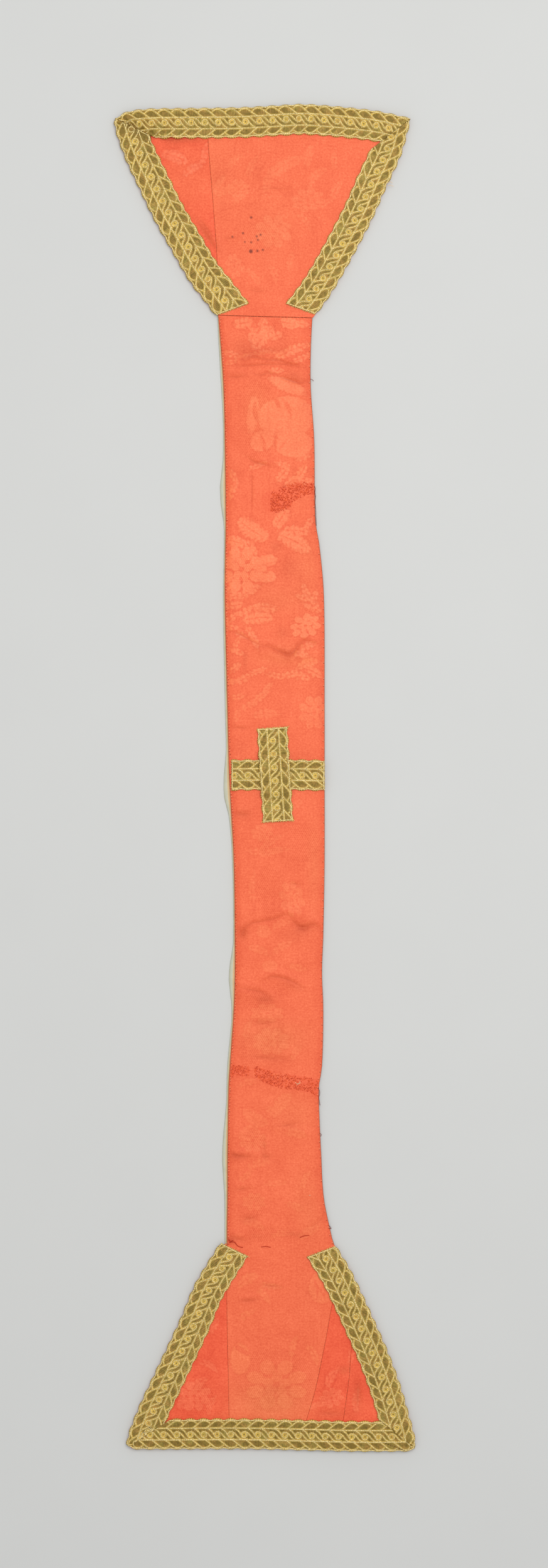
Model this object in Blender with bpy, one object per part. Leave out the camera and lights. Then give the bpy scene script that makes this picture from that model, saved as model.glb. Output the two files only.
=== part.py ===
"""Maniple-length clerical stole, laid flat: a coral silk damask band that flares into a trapezoid at each
end, on a cream lining, edged and crossed with gold metal-thread galloon.

Sizes are in millimetres, and MM turns them into metres. X runs to the right, Y towards the upper end and
Z up. The lining's flat underside lies at Z = 0, under the middle of the whole stole.
"""

from collections import namedtuple
from math import ceil, cos, exp, pi, radians, sin

import bmesh
import bpy
from mathutils import Vector

MM = 0.001

# Walls, from the surface that the stole lies on, upwards
SEAM_GAP = 0.3
LINING_WALL = 1.0
SILK_WALL = 1.4
GALLOON_WALL = 1.0
SILK_UNDER = LINING_WALL + SEAM_GAP
SILK_TOP = SILK_UNDER + SILK_WALL
GALLOON_UNDER = SILK_TOP + SEAM_GAP
GALLOON_TOP = GALLOON_UNDER + GALLOON_WALL

# Galloon
GALLOON_WIDTH = 22.4
WIDE_NECK_GALLOON = 24.8
GALLOON_REPEAT = 9.4
SECTIONS_PER_REPEAT = 4
SCALLOP_DEPTH = 0.9
RAIL_RELIEF = 0.35
SCROLL_RELIEF = 0.15
SILK_TURN_IN = 1.8
LINING_TURN_IN = 4.0
BAND_LINING_TURN_IN = 1.0

# Silk and lining meshes
ROW_STEP = 6.4
COLUMN_STEP = 6.6
FLAT_ROW_STEP = 12.0

# Cross
UPRIGHT_RAMP_CLEAR = 1.6
UPRIGHT_RAMP = 6.0

CORAL_SILK = (0.87, 0.165, 0.075, 1.0)
CORAL_GORE_SILK = (0.80, 0.135, 0.065, 1.0)
CREAM_SILK = (0.60, 0.56, 0.42, 1.0)
GOLD_THREAD = (0.47, 0.36, 0.11, 1.0)

Section = namedtuple("Section", "y left right")
Station = namedtuple("Station", "x y")
SeamPoint = namedtuple("SeamPoint", "y x")
Overhang = namedtuple("Overhang", "y beyond_silk")
Column = namedtuple("Column", "across relief")
Fold = namedtuple("Fold", "x y length turn_deg bow half_width height")

# The band's silk edges, from the neck seam of the upper end down to the neck of the lower end
BAND = (
    Section(y=323.4, left=-33.2, right=32.8),
    Section(y=299.4, left=-31.2, right=31.7),
    Section(y=273.0, left=-29.5, right=31.7),
    Section(y=237.8, left=-28.6, right=34.1),
    Section(y=180.6, left=-28.0, right=35.0),
    Section(y=163.0, left=-28.2, right=37.8),
    Section(y=127.8, left=-28.6, right=40.9),
    Section(y=48.6, left=-26.8, right=41.4),
    Section(y=0.2, left=-25.5, right=41.4),
    Section(y=-57.0, left=-22.4, right=41.4),
    Section(y=-109.8, left=-21.6, right=40.5),
    Section(y=-136.2, left=-21.6, right=39.6),
    Section(y=-162.6, left=-22.4, right=40.5),
    Section(y=-202.2, left=-25.1, right=39.6),
    Section(y=-217.6, left=-26.0, right=37.4),
    Section(y=-268.2, left=-26.8, right=39.2),
    Section(y=-294.6, left=-26.8, right=40.9),
    Section(y=-316.6, left=-27.3, right=45.3),
    Section(y=-327.6, left=-28.2, right=47.8),
)

# The outer edges of the flared ends, at the galloon's scallops
UPPER_END = (
    Section(y=462.5, left=-105.4, right=102.0),
    Section(y=457.8, left=-106.4, right=101.2),
    Section(y=435.8, left=-99.4, right=95.0),
    Section(y=413.8, left=-89.3, right=84.9),
    Section(y=391.8, left=-78.8, right=75.2),
    Section(y=369.8, left=-66.4, right=63.8),
    Section(y=347.8, left=-53.7, right=51.5),
    Section(y=334.6, left=-43.6, right=43.2),
    Section(y=323.4, left=-35.2, right=34.8),
)
LOWER_END = (
    Section(y=-327.6, left=-33.4, right=49.6),
    Section(y=-343.0, left=-43.1, right=59.0),
    Section(y=-356.2, left=-50.6, right=65.6),
    Section(y=-378.2, left=-59.8, right=75.7),
    Section(y=-400.2, left=-70.0, right=85.4),
    Section(y=-422.2, left=-80.5, right=93.7),
    Section(y=-444.2, left=-90.6, right=100.3),
    Section(y=-466.2, left=-97.8, right=105.6),
    Section(y=-471.5, left=-93.8, right=103.6),
)
UPPER_EDGE_Y = 470.0
LOWER_EDGE_Y = -471.5
# The silk's upper corners are cut back from this far below its top, by this much at the top
UPPER_CORNER_DROP = 7.0
UPPER_CORNER_REACH = 38.0
UPPER_CORNER_CURVE = 1.5

# Seams of the silk, each from its upper end down
NECK_SEAM_Y = 323.3
NECK_SEAM_TILT = -1.8
MIDDLE_SEAM_Y = 2.4
UPPER_GORE_SEAM = (
    SeamPoint(y=470.0, x=-41.6),
    SeamPoint(y=448.6, x=-40.5),
    SeamPoint(y=405.5, x=-37.0),
    SeamPoint(y=362.3, x=-33.9),
    SeamPoint(y=320.0, x=-32.9),
)
LOWER_LEFT_SEAM = (
    SeamPoint(y=-316.0, x=-27.3),
    SeamPoint(y=-364.0, x=-27.2),
    SeamPoint(y=-410.0, x=-26.4),
    SeamPoint(y=-450.0, x=-25.5),
    SeamPoint(y=-472.0, x=-25.1),
)
LOWER_INNER_SEAM = (
    SeamPoint(y=-334.0, x=53.6),
    SeamPoint(y=-360.6, x=48.4),
    SeamPoint(y=-375.5, x=45.3),
    SeamPoint(y=-395.3, x=41.8),
    SeamPoint(y=-428.8, x=34.8),
    SeamPoint(y=-448.6, x=29.0),
    SeamPoint(y=-472.0, x=22.6),
)
LOWER_OUTER_SEAM = (
    SeamPoint(y=-356.0, x=64.6),
    SeamPoint(y=-371.6, x=62.9),
    SeamPoint(y=-398.0, x=60.1),
    SeamPoint(y=-420.4, x=58.5),
    SeamPoint(y=-448.6, x=54.6),
    SeamPoint(y=-472.0, x=51.6),
)
# Where each gore comes to its point
UPPER_GORE_POINT_Y = 327.4
LOWER_LEFT_POINT_Y = -326.4
LOWER_INNER_POINT_Y = -339.0
LOWER_OUTER_POINT_Y = -360.6

# How far the lining comes out past the silk along the band's left edge
LINING_SHOWS = (
    Overhang(y=330.0, beyond_silk=0.6),
    Overhang(y=282.0, beyond_silk=1.6),
    Overhang(y=250.0, beyond_silk=1.0),
    Overhang(y=222.0, beyond_silk=1.6),
    Overhang(y=204.0, beyond_silk=3.8),
    Overhang(y=192.0, beyond_silk=3.3),
    Overhang(y=174.0, beyond_silk=1.0),
    Overhang(y=105.0, beyond_silk=1.3),
    Overhang(y=44.0, beyond_silk=1.6),
    Overhang(y=19.0, beyond_silk=1.6),
    Overhang(y=4.0, beyond_silk=3.4),
    Overhang(y=-14.0, beyond_silk=4.2),
    Overhang(y=-26.0, beyond_silk=1.8),
    Overhang(y=-48.0, beyond_silk=1.0),
    Overhang(y=-116.0, beyond_silk=1.2),
    Overhang(y=-130.0, beyond_silk=3.4),
    Overhang(y=-142.0, beyond_silk=4.0),
    Overhang(y=-158.0, beyond_silk=1.8),
    Overhang(y=-170.0, beyond_silk=1.0),
    Overhang(y=-198.0, beyond_silk=1.7),
    Overhang(y=-226.0, beyond_silk=1.2),
    Overhang(y=-250.0, beyond_silk=3.0),
    Overhang(y=-268.0, beyond_silk=3.6),
    Overhang(y=-290.0, beyond_silk=2.2),
    Overhang(y=-316.0, beyond_silk=1.4),
    Overhang(y=-328.0, beyond_silk=0.4),
)

# The galloon's strips: the outer edge of each, and the line that cuts each end
UPPER_LEFT_EDGE = tuple(Station(row.left, row.y) for row in UPPER_END)
UPPER_RIGHT_EDGE = tuple(Station(row.right, row.y) for row in UPPER_END)
LOWER_LEFT_EDGE = tuple(Station(row.left, row.y) for row in LOWER_END)
LOWER_RIGHT_EDGE = tuple(Station(row.right, row.y) for row in LOWER_END)
UPPER_TOP_EDGE = (
    Station(x=-105.4, y=462.6),
    Station(x=-98.5, y=466.8),
    Station(x=-90.0, y=468.7),
    Station(x=-78.3, y=469.6),
    Station(x=-19.0, y=470.4),
    Station(x=7.5, y=471.8),
    Station(x=25.0, y=472.7),
    Station(x=40.5, y=471.9),
    Station(x=60.3, y=470.1),
    Station(x=80.0, y=467.6),
    Station(x=102.5, y=462.6),
)
LOWER_BOTTOM_EDGE = (
    Station(x=-96.6, y=-468.6),
    Station(x=-93.4, y=-470.4),
    Station(x=-88.0, y=-470.9),
    Station(x=-10.0, y=-470.8),
    Station(x=60.0, y=-472.4),
    Station(x=98.0, y=-472.3),
    Station(x=102.6, y=-471.6),
    Station(x=104.8, y=-469.8),
)
UPPER_LEFT_MITRE = (Station(x=-106.4, y=462.6), Station(x=-78.3, y=449.0))
UPPER_RIGHT_MITRE = (Station(x=103.8, y=463.4), Station(x=80.5, y=445.5))
LOWER_LEFT_MITRE = (Station(x=-98.2, y=-469.6), Station(x=-68.2, y=-450.3))
LOWER_RIGHT_MITRE = (Station(x=106.0, y=-470.8), Station(x=80.5, y=-450.3))
UPPER_LEFT_NECK = (Station(x=-32.3, y=324.9), Station(x=-12.8, y=332.0))
UPPER_RIGHT_NECK = (Station(x=16.3, y=331.5), Station(x=35.6, y=324.5))
LOWER_LEFT_NECK = (Station(x=-31.2, y=-325.8), Station(x=-10.8, y=-335.9))
LOWER_RIGHT_NECK = (Station(x=29.0, y=-335.5), Station(x=48.8, y=-328.0))

ARM_TOP_EDGE = (Station(x=-30.0, y=13.2), Station(x=8.0, y=13.5), Station(x=48.0, y=12.9))
ARM_LEFT_CUT = (Station(x=-23.8, y=20.0), Station(x=-23.8, y=-20.0))
ARM_RIGHT_CUT = (Station(x=41.2, y=20.0), Station(x=41.2, y=-20.0))
ARM_MIDDLE_Y = 2.3
UPRIGHT_LEFT_EDGE = (Station(x=-7.1, y=44.0), Station(x=-4.4, y=0.0), Station(x=-1.7, y=-42.0))
UPRIGHT_TOP_CUT = (Station(x=-6.8, y=34.3), Station(x=16.5, y=35.9))
UPRIGHT_FOOT_CUT = (Station(x=-2.9, y=-31.0), Station(x=20.7, y=-29.7))

# Across the galloon: 0 is its outer edge and 1 its inner edge
GALLOON_COLUMNS = (
    Column(across=0.0, relief=0.0),
    Column(across=0.16, relief=SCROLL_RELIEF),
    Column(across=0.34, relief=RAIL_RELIEF),
    Column(across=0.5, relief=SCROLL_RELIEF),
    Column(across=0.66, relief=RAIL_RELIEF),
    Column(across=0.84, relief=SCROLL_RELIEF),
    Column(across=1.0, relief=0.0),
)

# A fold fades out between these shares of its half length
FOLD_FADE = (0.55, 1.4)
# Folds rise between these distances from an end's outer edge, a neck and the middle of the cross
FOLDS_PAST_EDGE = (30.0, 42.5)
FOLDS_PAST_NECK = (10.0, 22.0)
FOLDS_PAST_CROSS = (42.0, 54.0)

# The largest folds and puckers of the silk. Each is a soft ridge, or a trough where its height is below 0
FOLDS = (
    Fold(x=17.0, y=89.0, length=46.0, turn_deg=-3.0, bow=-4.0, half_width=4.4, height=0.8),
    Fold(x=22.0, y=80.0, length=34.0, turn_deg=4.0, bow=3.0, half_width=5.0, height=-0.35),
    Fold(x=8.0, y=-99.0, length=60.0, turn_deg=-4.0, bow=7.0, half_width=4.6, height=0.8),
    Fold(x=6.0, y=-107.0, length=52.0, turn_deg=3.0, bow=-3.0, half_width=5.0, height=-0.35),
    Fold(x=8.0, y=-143.0, length=30.0, turn_deg=-10.0, bow=3.0, half_width=4.2, height=0.6),
    Fold(x=-5.0, y=-152.0, length=36.0, turn_deg=-14.0, bow=-2.0, half_width=4.4, height=0.7),
    Fold(x=-12.0, y=-265.0, length=26.0, turn_deg=0.0, bow=1.0, half_width=4.2, height=0.5),
    Fold(x=2.0, y=291.0, length=54.0, turn_deg=5.0, bow=3.0, half_width=4.6, height=0.7),
    Fold(x=0.0, y=280.0, length=62.0, turn_deg=-5.0, bow=-2.0, half_width=4.4, height=-0.35),
    Fold(x=-4.0, y=224.0, length=24.0, turn_deg=-12.0, bow=0.0, half_width=4.4, height=0.4),
    Fold(x=-18.0, y=203.0, length=30.0, turn_deg=80.0, bow=2.0, half_width=6.0, height=0.6),
    Fold(x=-16.0, y=-140.0, length=34.0, turn_deg=84.0, bow=2.0, half_width=6.0, height=0.5),
    Fold(x=-17.0, y=-262.0, length=34.0, turn_deg=88.0, bow=2.0, half_width=6.0, height=0.5),
    Fold(x=30.0, y=192.0, length=34.0, turn_deg=20.0, bow=3.0, half_width=6.0, height=0.5),
    Fold(x=15.0, y=-215.0, length=58.0, turn_deg=-8.0, bow=0.0, half_width=6.0, height=0.5),
    Fold(x=4.0, y=250.0, length=40.0, turn_deg=90.0, bow=0.0, half_width=13.0, height=0.4),
    Fold(x=8.0, y=150.0, length=60.0, turn_deg=84.0, bow=0.0, half_width=14.0, height=0.35),
    Fold(x=9.0, y=-60.0, length=44.0, turn_deg=90.0, bow=0.0, half_width=13.0, height=0.4),
    Fold(x=6.0, y=-180.0, length=40.0, turn_deg=90.0, bow=0.0, half_width=12.0, height=0.4),
    Fold(x=8.0, y=-298.0, length=50.0, turn_deg=70.0, bow=0.0, half_width=12.0, height=0.4),
    Fold(x=-4.0, y=400.0, length=70.0, turn_deg=80.0, bow=2.0, half_width=18.0, height=0.25),
    Fold(x=14.0, y=-410.0, length=60.0, turn_deg=84.0, bow=2.0, half_width=16.0, height=0.25),
    Fold(x=67.0, y=-428.0, length=32.0, turn_deg=88.0, bow=1.0, half_width=4.4, height=-0.2),
)


def slopes(keys, values):
    """The slope at each key of a smooth curve through the values."""
    count = len(keys)
    found = []
    for i in range(count):
        low = max(i - 1, 0)
        high = min(i + 1, count - 1)
        found.append((values[high] - values[low]) / (keys[high] - keys[low]))
    return found


def smooth_at(keys, values, key):
    """The value at a key, on a smooth curve through rising keys. It runs on straight past both ends."""
    tangents = slopes(keys, values)
    if key <= keys[0]:
        return values[0] + tangents[0] * (key - keys[0])
    if key >= keys[-1]:
        return values[-1] + tangents[-1] * (key - keys[-1])
    i = max(k for k in range(len(keys) - 1) if keys[k] <= key)
    span = keys[i + 1] - keys[i]
    t = (key - keys[i]) / span
    rise = values[i + 1] - values[i]
    start = span * tangents[i] - rise
    end = rise - span * tangents[i + 1]
    return values[i] + rise * t + t * (1 - t) * ((1 - t) * start + t * end)


def by_y(rows, column, y):
    """A column of a table at the height y, where the rows run downwards."""
    rising = rows[::-1]
    return smooth_at([row.y for row in rising], [getattr(row, column) for row in rising], y)


def step_between(low, high, value):
    """0 at low, 1 at high and smooth between."""
    t = min(max((value - low) / (high - low), 0.0), 1.0)
    return t * t * (3 - 2 * t)


def fold_height(fold, x, y):
    """The height that one fold adds at a point of the silk."""
    turn = radians(fold.turn_deg)
    along = (x - fold.x) * cos(turn) + (y - fold.y) * sin(turn)
    off = (y - fold.y) * cos(turn) - (x - fold.x) * sin(turn)
    reach = along / (fold.length / 2)
    if abs(reach) > FOLD_FADE[1]:
        return 0.0
    off -= fold.bow * (1 - reach * reach)
    fade = 1 - step_between(*FOLD_FADE, abs(reach))
    return fold.height * fade * exp(-((off / fold.half_width) ** 2))


def clear_of_galloon(x, y):
    """1 on bare silk, and 0 near and under the galloon, where the silk lies flat."""
    if y > NECK_SEAM_Y:
        left = by_y(UPPER_END, "left", y)
        right = by_y(UPPER_END, "right", y)
        edge = min(x - left, right - x, UPPER_EDGE_Y - y)
    elif y < LOWER_END[0].y:
        left = by_y(LOWER_END, "left", y)
        right = by_y(LOWER_END, "right", y)
        edge = min(x - left, right - x, y - LOWER_EDGE_Y)
    else:
        edge = FOLDS_PAST_EDGE[1]
    necks = min(abs(y - NECK_SEAM_Y), abs(y - LOWER_END[0].y))
    away = step_between(*FOLDS_PAST_EDGE, edge) * step_between(*FOLDS_PAST_NECK, necks)
    return away * step_between(*FOLDS_PAST_CROSS, abs(y - ARM_MIDDLE_Y))


def silk_top(x, y):
    """The height of the silk's upper face."""
    return SILK_TOP + clear_of_galloon(x, y) * sum(fold_height(fold, x, y) for fold in FOLDS)


def add_piece(name, bm, material, slot):
    """Turns a closed mesh in millimetres into a named object, with its faces out."""
    for vert in bm.verts:
        vert.co *= MM
    bmesh.ops.recalc_face_normals(bm, faces=bm.faces)
    mesh = bpy.data.meshes.new(name)
    bm.to_mesh(mesh)
    bm.free()
    mesh.materials.append(material)
    piece = bpy.data.objects.new(name, mesh)
    piece["material_slot"] = slot
    bpy.context.scene.collection.objects.link(piece)
    return piece


def wall_from_rows(rows, under_rows):
    """A closed wall: a grid of upper points, and two under points below the ends of each row."""
    bm = bmesh.new()
    top = [[bm.verts.new(point) for point in row] for row in rows]
    under = [[bm.verts.new(point) for point in pair] for pair in under_rows]
    for i in range(len(top) - 1):
        for j in range(len(top[i]) - 1):
            bm.faces.new((top[i][j], top[i + 1][j], top[i + 1][j + 1], top[i][j + 1]))
        bm.faces.new((under[i][0], under[i][1], under[i + 1][1], under[i + 1][0]))
        bm.faces.new((top[i][0], under[i][0], under[i + 1][0], top[i + 1][0]))
        bm.faces.new((top[i][-1], top[i + 1][-1], under[i + 1][1], under[i][1]))
    bm.faces.new(top[0] + [under[0][1], under[0][0]])
    bm.faces.new(top[-1][::-1] + [under[-1][0], under[-1][1]])
    return bm


def cut_at(bm, line, keep):
    """Cuts a closed mesh along an upright plane through a line, and keeps the side that holds a point."""
    start = Vector((line[0].x, line[0].y, 0.0))
    end = Vector((line[1].x, line[1].y, 0.0))
    normal = (end - start).cross(Vector((0.0, 0.0, 1.0))).normalized()
    if normal.dot(Vector((keep.x, keep.y, 0.0)) - start) > 0:
        normal.negate()
    place = start - normal * SEAM_GAP / 2
    everything = bm.verts[:] + bm.edges[:] + bm.faces[:]
    found = bmesh.ops.bisect_plane(
        bm, geom=everything, plane_co=place, plane_no=normal, clear_outer=True
    )
    edges = [item for item in found["geom_cut"] if isinstance(item, bmesh.types.BMEdge)]
    bmesh.ops.holes_fill(bm, edges=edges, sides=len(edges))


def silk_panel(name, material, high, low, left_at, right_at, high_tilt=0.0, low_tilt=0.0):
    """A silk panel between two heights and two edges. A tilt raises an end's right corner."""
    count = ceil((high - low) / ROW_STEP)
    widest = max(right_at(y) - left_at(y) for y in (high, (high + low) / 2, low))
    columns = max(2, ceil(widest / COLUMN_STEP))
    rows = []
    under_rows = []
    for i in range(count + 1):
        t = i / count
        y = high + (low - high) * t
        tilt = high_tilt * max(0.0, 1 - i) + low_tilt * max(0.0, 1 - (count - i))
        left = left_at(y)
        right = right_at(y)
        points = []
        for j in range(columns + 1):
            u = j / columns
            x = left + (right - left) * u
            lean_y = y + tilt * (u - 0.5)
            points.append((x, lean_y, silk_top(x, lean_y)))
        rows.append(points)
        under_rows.append([(p[0], p[1], SILK_UNDER) for p in (points[0], points[-1])])
    return add_piece(name, wall_from_rows(rows, under_rows), material, "silk")


def end_edge(rows, column, inward, y):
    """An end's silk or lining edge, turned in from the galloon's outer edge."""
    to_middle = 1 if column == "left" else -1
    drop = y - (UPPER_EDGE_Y - inward - UPPER_CORNER_DROP)
    cut_back = UPPER_CORNER_REACH * (max(drop, 0.0) / UPPER_CORNER_DROP) ** UPPER_CORNER_CURVE
    return by_y(rows, column, y) + to_middle * (inward + cut_back)


def seam(points, side):
    """The edge beside a seam: side is -1 for the panel on its left and 1 for the one on its right."""
    return lambda y: by_y(points, "x", y) + side * SEAM_GAP / 2


def build_silk(coral, gore):
    """The silk's main panels and gores."""
    top = UPPER_EDGE_Y - SILK_TURN_IN
    foot = LOWER_EDGE_Y + SILK_TURN_IN
    half_gap = SEAM_GAP / 2

    def upper_left(y):
        return end_edge(UPPER_END, "left", SILK_TURN_IN, y)

    def upper_right(y):
        return end_edge(UPPER_END, "right", SILK_TURN_IN, y)

    def lower_left(y):
        if y > LOWER_END[0].y:
            return by_y(BAND, "left", y)
        return end_edge(LOWER_END, "left", SILK_TURN_IN, y)

    def lower_right(y):
        return end_edge(LOWER_END, "right", SILK_TURN_IN, y)

    def band_left(y):
        return by_y(BAND, "left", y)

    def band_right(y):
        return by_y(BAND, "right", y)

    def lower_band_left(y):
        if y > LOWER_LEFT_SEAM[0].y:
            return band_left(y)
        return max(band_left(y), seam(LOWER_LEFT_SEAM, 1)(y))

    def lower_band_right(y):
        if y > LOWER_END[0].y:
            return band_right(y)
        return min(lower_right(y), seam(LOWER_INNER_SEAM, -1)(y))

    def lower_inner_right(y):
        return min(lower_right(y), seam(LOWER_OUTER_SEAM, -1)(y))

    neck = NECK_SEAM_Y + half_gap
    silk_panel(
        "upper_end_panel", coral, top, neck, seam(UPPER_GORE_SEAM, 1), upper_right,
        low_tilt=NECK_SEAM_TILT,
    )
    silk_panel(
        "upper_end_gore", gore, top, UPPER_GORE_POINT_Y, upper_left, seam(UPPER_GORE_SEAM, -1)
    )
    silk_panel(
        "upper_band", coral, NECK_SEAM_Y - half_gap, MIDDLE_SEAM_Y + half_gap,
        band_left, band_right, high_tilt=NECK_SEAM_TILT,
    )
    silk_panel(
        "lower_band", coral, MIDDLE_SEAM_Y - half_gap, foot, lower_band_left, lower_band_right
    )
    silk_panel(
        "lower_left_gore", gore, LOWER_LEFT_POINT_Y, foot, lower_left, seam(LOWER_LEFT_SEAM, -1)
    )
    silk_panel(
        "lower_right_gore_inner", gore, LOWER_INNER_POINT_Y, foot,
        seam(LOWER_INNER_SEAM, 1), lower_inner_right,
    )
    silk_panel(
        "lower_right_gore_outer", gore, LOWER_OUTER_POINT_Y, foot,
        seam(LOWER_OUTER_SEAM, 1), lower_right,
    )


def build_lining(cream):
    """The lining, whose flat underside carries everything."""
    top = UPPER_EDGE_Y - LINING_TURN_IN
    foot = LOWER_EDGE_Y + LINING_TURN_IN
    heights = {top, foot}
    heights |= {row.y for row in UPPER_END + BAND + LOWER_END if foot < row.y < top}
    heights |= {row.y for row in LINING_SHOWS}
    ordered = sorted(heights, reverse=True)
    spaced = [ordered[0]]
    for y in ordered[1:]:
        count = ceil((spaced[-1] - y) / FLAT_ROW_STEP)
        start = spaced[-1]
        spaced += [start + (y - start) * k / count for k in range(1, count + 1)]
    rows = []
    under_rows = []
    for y in spaced:
        if y > NECK_SEAM_Y:
            left = end_edge(UPPER_END, "left", LINING_TURN_IN, y)
            right = end_edge(UPPER_END, "right", LINING_TURN_IN, y)
            left = min(left, by_y(BAND, "left", NECK_SEAM_Y))
        elif y < LOWER_END[0].y:
            left = end_edge(LOWER_END, "left", LINING_TURN_IN, y)
            right = end_edge(LOWER_END, "right", LINING_TURN_IN, y)
        else:
            left = by_y(BAND, "left", y) - by_y(LINING_SHOWS, "beyond_silk", y)
            right = by_y(BAND, "right", y) - BAND_LINING_TURN_IN
        rows.append([(left, y, LINING_WALL), (right, y, LINING_WALL)])
        under_rows.append([(left, y, 0.0), (right, y, 0.0)])
    add_piece("lining", wall_from_rows(rows, under_rows), cream, "lining")


def edge_path(stations):
    """Sections along a smooth line through the stations: number, share of the way, point and direction."""
    knots = [0.0]
    for a, b in zip(stations, stations[1:]):
        knots.append(knots[-1] + Vector((b.x - a.x, b.y - a.y)).length)
    xs = [station.x for station in stations]
    ys = [station.y for station in stations]
    step = GALLOON_REPEAT / SECTIONS_PER_REPEAT
    spare = SECTIONS_PER_REPEAT * 2
    count = ceil(knots[-1] / step) + spare
    path = []
    for i in range(-spare, count + 1):
        here = Vector((smooth_at(knots, xs, i * step), smooth_at(knots, ys, i * step)))
        ahead = (i + 0.5) * step
        behind = (i - 0.5) * step
        run = Vector((
            smooth_at(knots, xs, ahead) - smooth_at(knots, xs, behind),
            smooth_at(knots, ys, ahead) - smooth_at(knots, ys, behind),
        ))
        path.append((i, i * step / knots[-1], here, run.normalized()))
    return path


def galloon_strip(name, gold, stations, inward_turn, cuts, end_width=GALLOON_WIDTH, lift=None):
    """A strip of galloon. inward_turn is 1 where its inner side lies left of its run, or else -1."""
    rows = []
    under_rows = []
    for i, share, here, run in edge_path(stations):
        inward = Vector((-run.y, run.x)) * inward_turn
        bulge = SCALLOP_DEPTH * (1 - abs(sin(pi * i / SECTIONS_PER_REPEAT)))
        width = GALLOON_WIDTH + (end_width - GALLOON_WIDTH) * share
        narrowed = width - 2 * bulge
        points = []
        for column in GALLOON_COLUMNS:
            place = here + inward * (bulge + narrowed * column.across)
            rise = lift(place.x, place.y) if lift else 0.0
            points.append((place.x, place.y, GALLOON_TOP + column.relief + rise))
        rows.append(points)
        ends = []
        for point in (points[0], points[-1]):
            rise = lift(point[0], point[1]) if lift else 0.0
            ends.append((point[0], point[1], GALLOON_UNDER + rise))
        under_rows.append(ends)
    bm = wall_from_rows(rows, under_rows)
    keep = stations[len(stations) // 2]
    for line in cuts:
        cut_at(bm, line, keep)
    return add_piece(name, bm, gold, "galloon")


def lift_over_arm(x, y):
    """How far the cross's upright rises to pass over the arm."""
    away = abs(y - ARM_MIDDLE_Y) - GALLOON_WIDTH / 2 - UPRIGHT_RAMP_CLEAR
    step_height = GALLOON_WALL + RAIL_RELIEF + SEAM_GAP
    return step_height * (1 - step_between(0.0, UPRIGHT_RAMP, away))


def build_galloon(gold):
    """Three strips round each end, and the cross."""
    galloon_strip(
        "galloon_upper_left", gold, UPPER_LEFT_EDGE, 1, (UPPER_LEFT_MITRE, UPPER_LEFT_NECK),
        end_width=WIDE_NECK_GALLOON,
    )
    galloon_strip(
        "galloon_upper_top", gold, UPPER_TOP_EDGE, -1, (UPPER_LEFT_MITRE, UPPER_RIGHT_MITRE)
    )
    galloon_strip(
        "galloon_upper_right", gold, UPPER_RIGHT_EDGE, -1, (UPPER_RIGHT_MITRE, UPPER_RIGHT_NECK)
    )
    galloon_strip(
        "galloon_lower_left", gold, LOWER_LEFT_EDGE, 1, (LOWER_LEFT_NECK, LOWER_LEFT_MITRE)
    )
    galloon_strip(
        "galloon_lower_bottom", gold, LOWER_BOTTOM_EDGE, 1, (LOWER_LEFT_MITRE, LOWER_RIGHT_MITRE)
    )
    galloon_strip(
        "galloon_lower_right", gold, LOWER_RIGHT_EDGE, -1, (LOWER_RIGHT_NECK, LOWER_RIGHT_MITRE)
    )
    galloon_strip("cross_arm", gold, ARM_TOP_EDGE, -1, (ARM_LEFT_CUT, ARM_RIGHT_CUT))
    galloon_strip(
        "cross_upright", gold, UPRIGHT_LEFT_EDGE, 1, (UPRIGHT_TOP_CUT, UPRIGHT_FOOT_CUT),
        lift=lift_over_arm,
    )


def principled(name, colour, roughness, metallic):
    """A plain Principled material."""
    material = bpy.data.materials.new(name)
    material.use_nodes = True
    shader = material.node_tree.nodes["Principled BSDF"]
    shader.inputs["Base Color"].default_value = colour
    shader.inputs["Roughness"].default_value = roughness
    shader.inputs["Metallic"].default_value = metallic
    return material


def main():
    for old in list(bpy.data.objects):
        bpy.data.objects.remove(old, do_unlink=True)
    build_lining(principled("cream_silk_lining", CREAM_SILK, 0.8, 0.0))
    build_silk(
        principled("coral_silk_damask", CORAL_SILK, 0.45, 0.0),
        principled("coral_silk_gores", CORAL_GORE_SILK, 0.5, 0.0),
    )
    build_galloon(principled("gold_thread_galloon", GOLD_THREAD, 0.4, 0.6))


main()
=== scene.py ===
"""Dresses the maniple-length stole: coral silk damask panels on a cream lining, gold metal-thread galloon
round both ends and in a cross at the middle, with its whip stitches, old darns and loose threads.

Lengths in the tables are in millimetres, in the frame of the CAD model: X to the right, Y towards the
upper end, Z up from the surface that the stole lies on.
"""

from collections import namedtuple
from math import ceil, floor, pi

import bpy
import numpy as np
from bpy.props import FloatProperty, FloatVectorProperty, IntProperty, PointerProperty
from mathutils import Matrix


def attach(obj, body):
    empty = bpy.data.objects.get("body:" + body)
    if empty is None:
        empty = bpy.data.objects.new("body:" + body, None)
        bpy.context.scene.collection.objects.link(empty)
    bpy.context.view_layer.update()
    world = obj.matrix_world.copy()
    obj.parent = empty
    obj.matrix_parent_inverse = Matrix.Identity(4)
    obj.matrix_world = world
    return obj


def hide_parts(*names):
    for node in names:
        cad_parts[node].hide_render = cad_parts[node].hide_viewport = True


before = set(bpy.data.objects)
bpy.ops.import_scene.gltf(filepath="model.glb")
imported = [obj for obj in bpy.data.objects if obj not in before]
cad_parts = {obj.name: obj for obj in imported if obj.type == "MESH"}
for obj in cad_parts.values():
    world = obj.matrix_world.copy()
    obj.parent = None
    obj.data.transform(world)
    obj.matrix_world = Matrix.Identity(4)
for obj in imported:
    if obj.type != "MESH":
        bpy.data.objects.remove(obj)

bl_info = {
    "name": "Damask stole",
    "version": (1, 0, 0),
    "blender": (4, 5, 0),
    "location": "View3D > Sidebar > Stole",
    "description": "Cloth, galloon and stitches of a maniple-length stole",
    "category": "Object",
}

MM = 0.001

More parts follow.
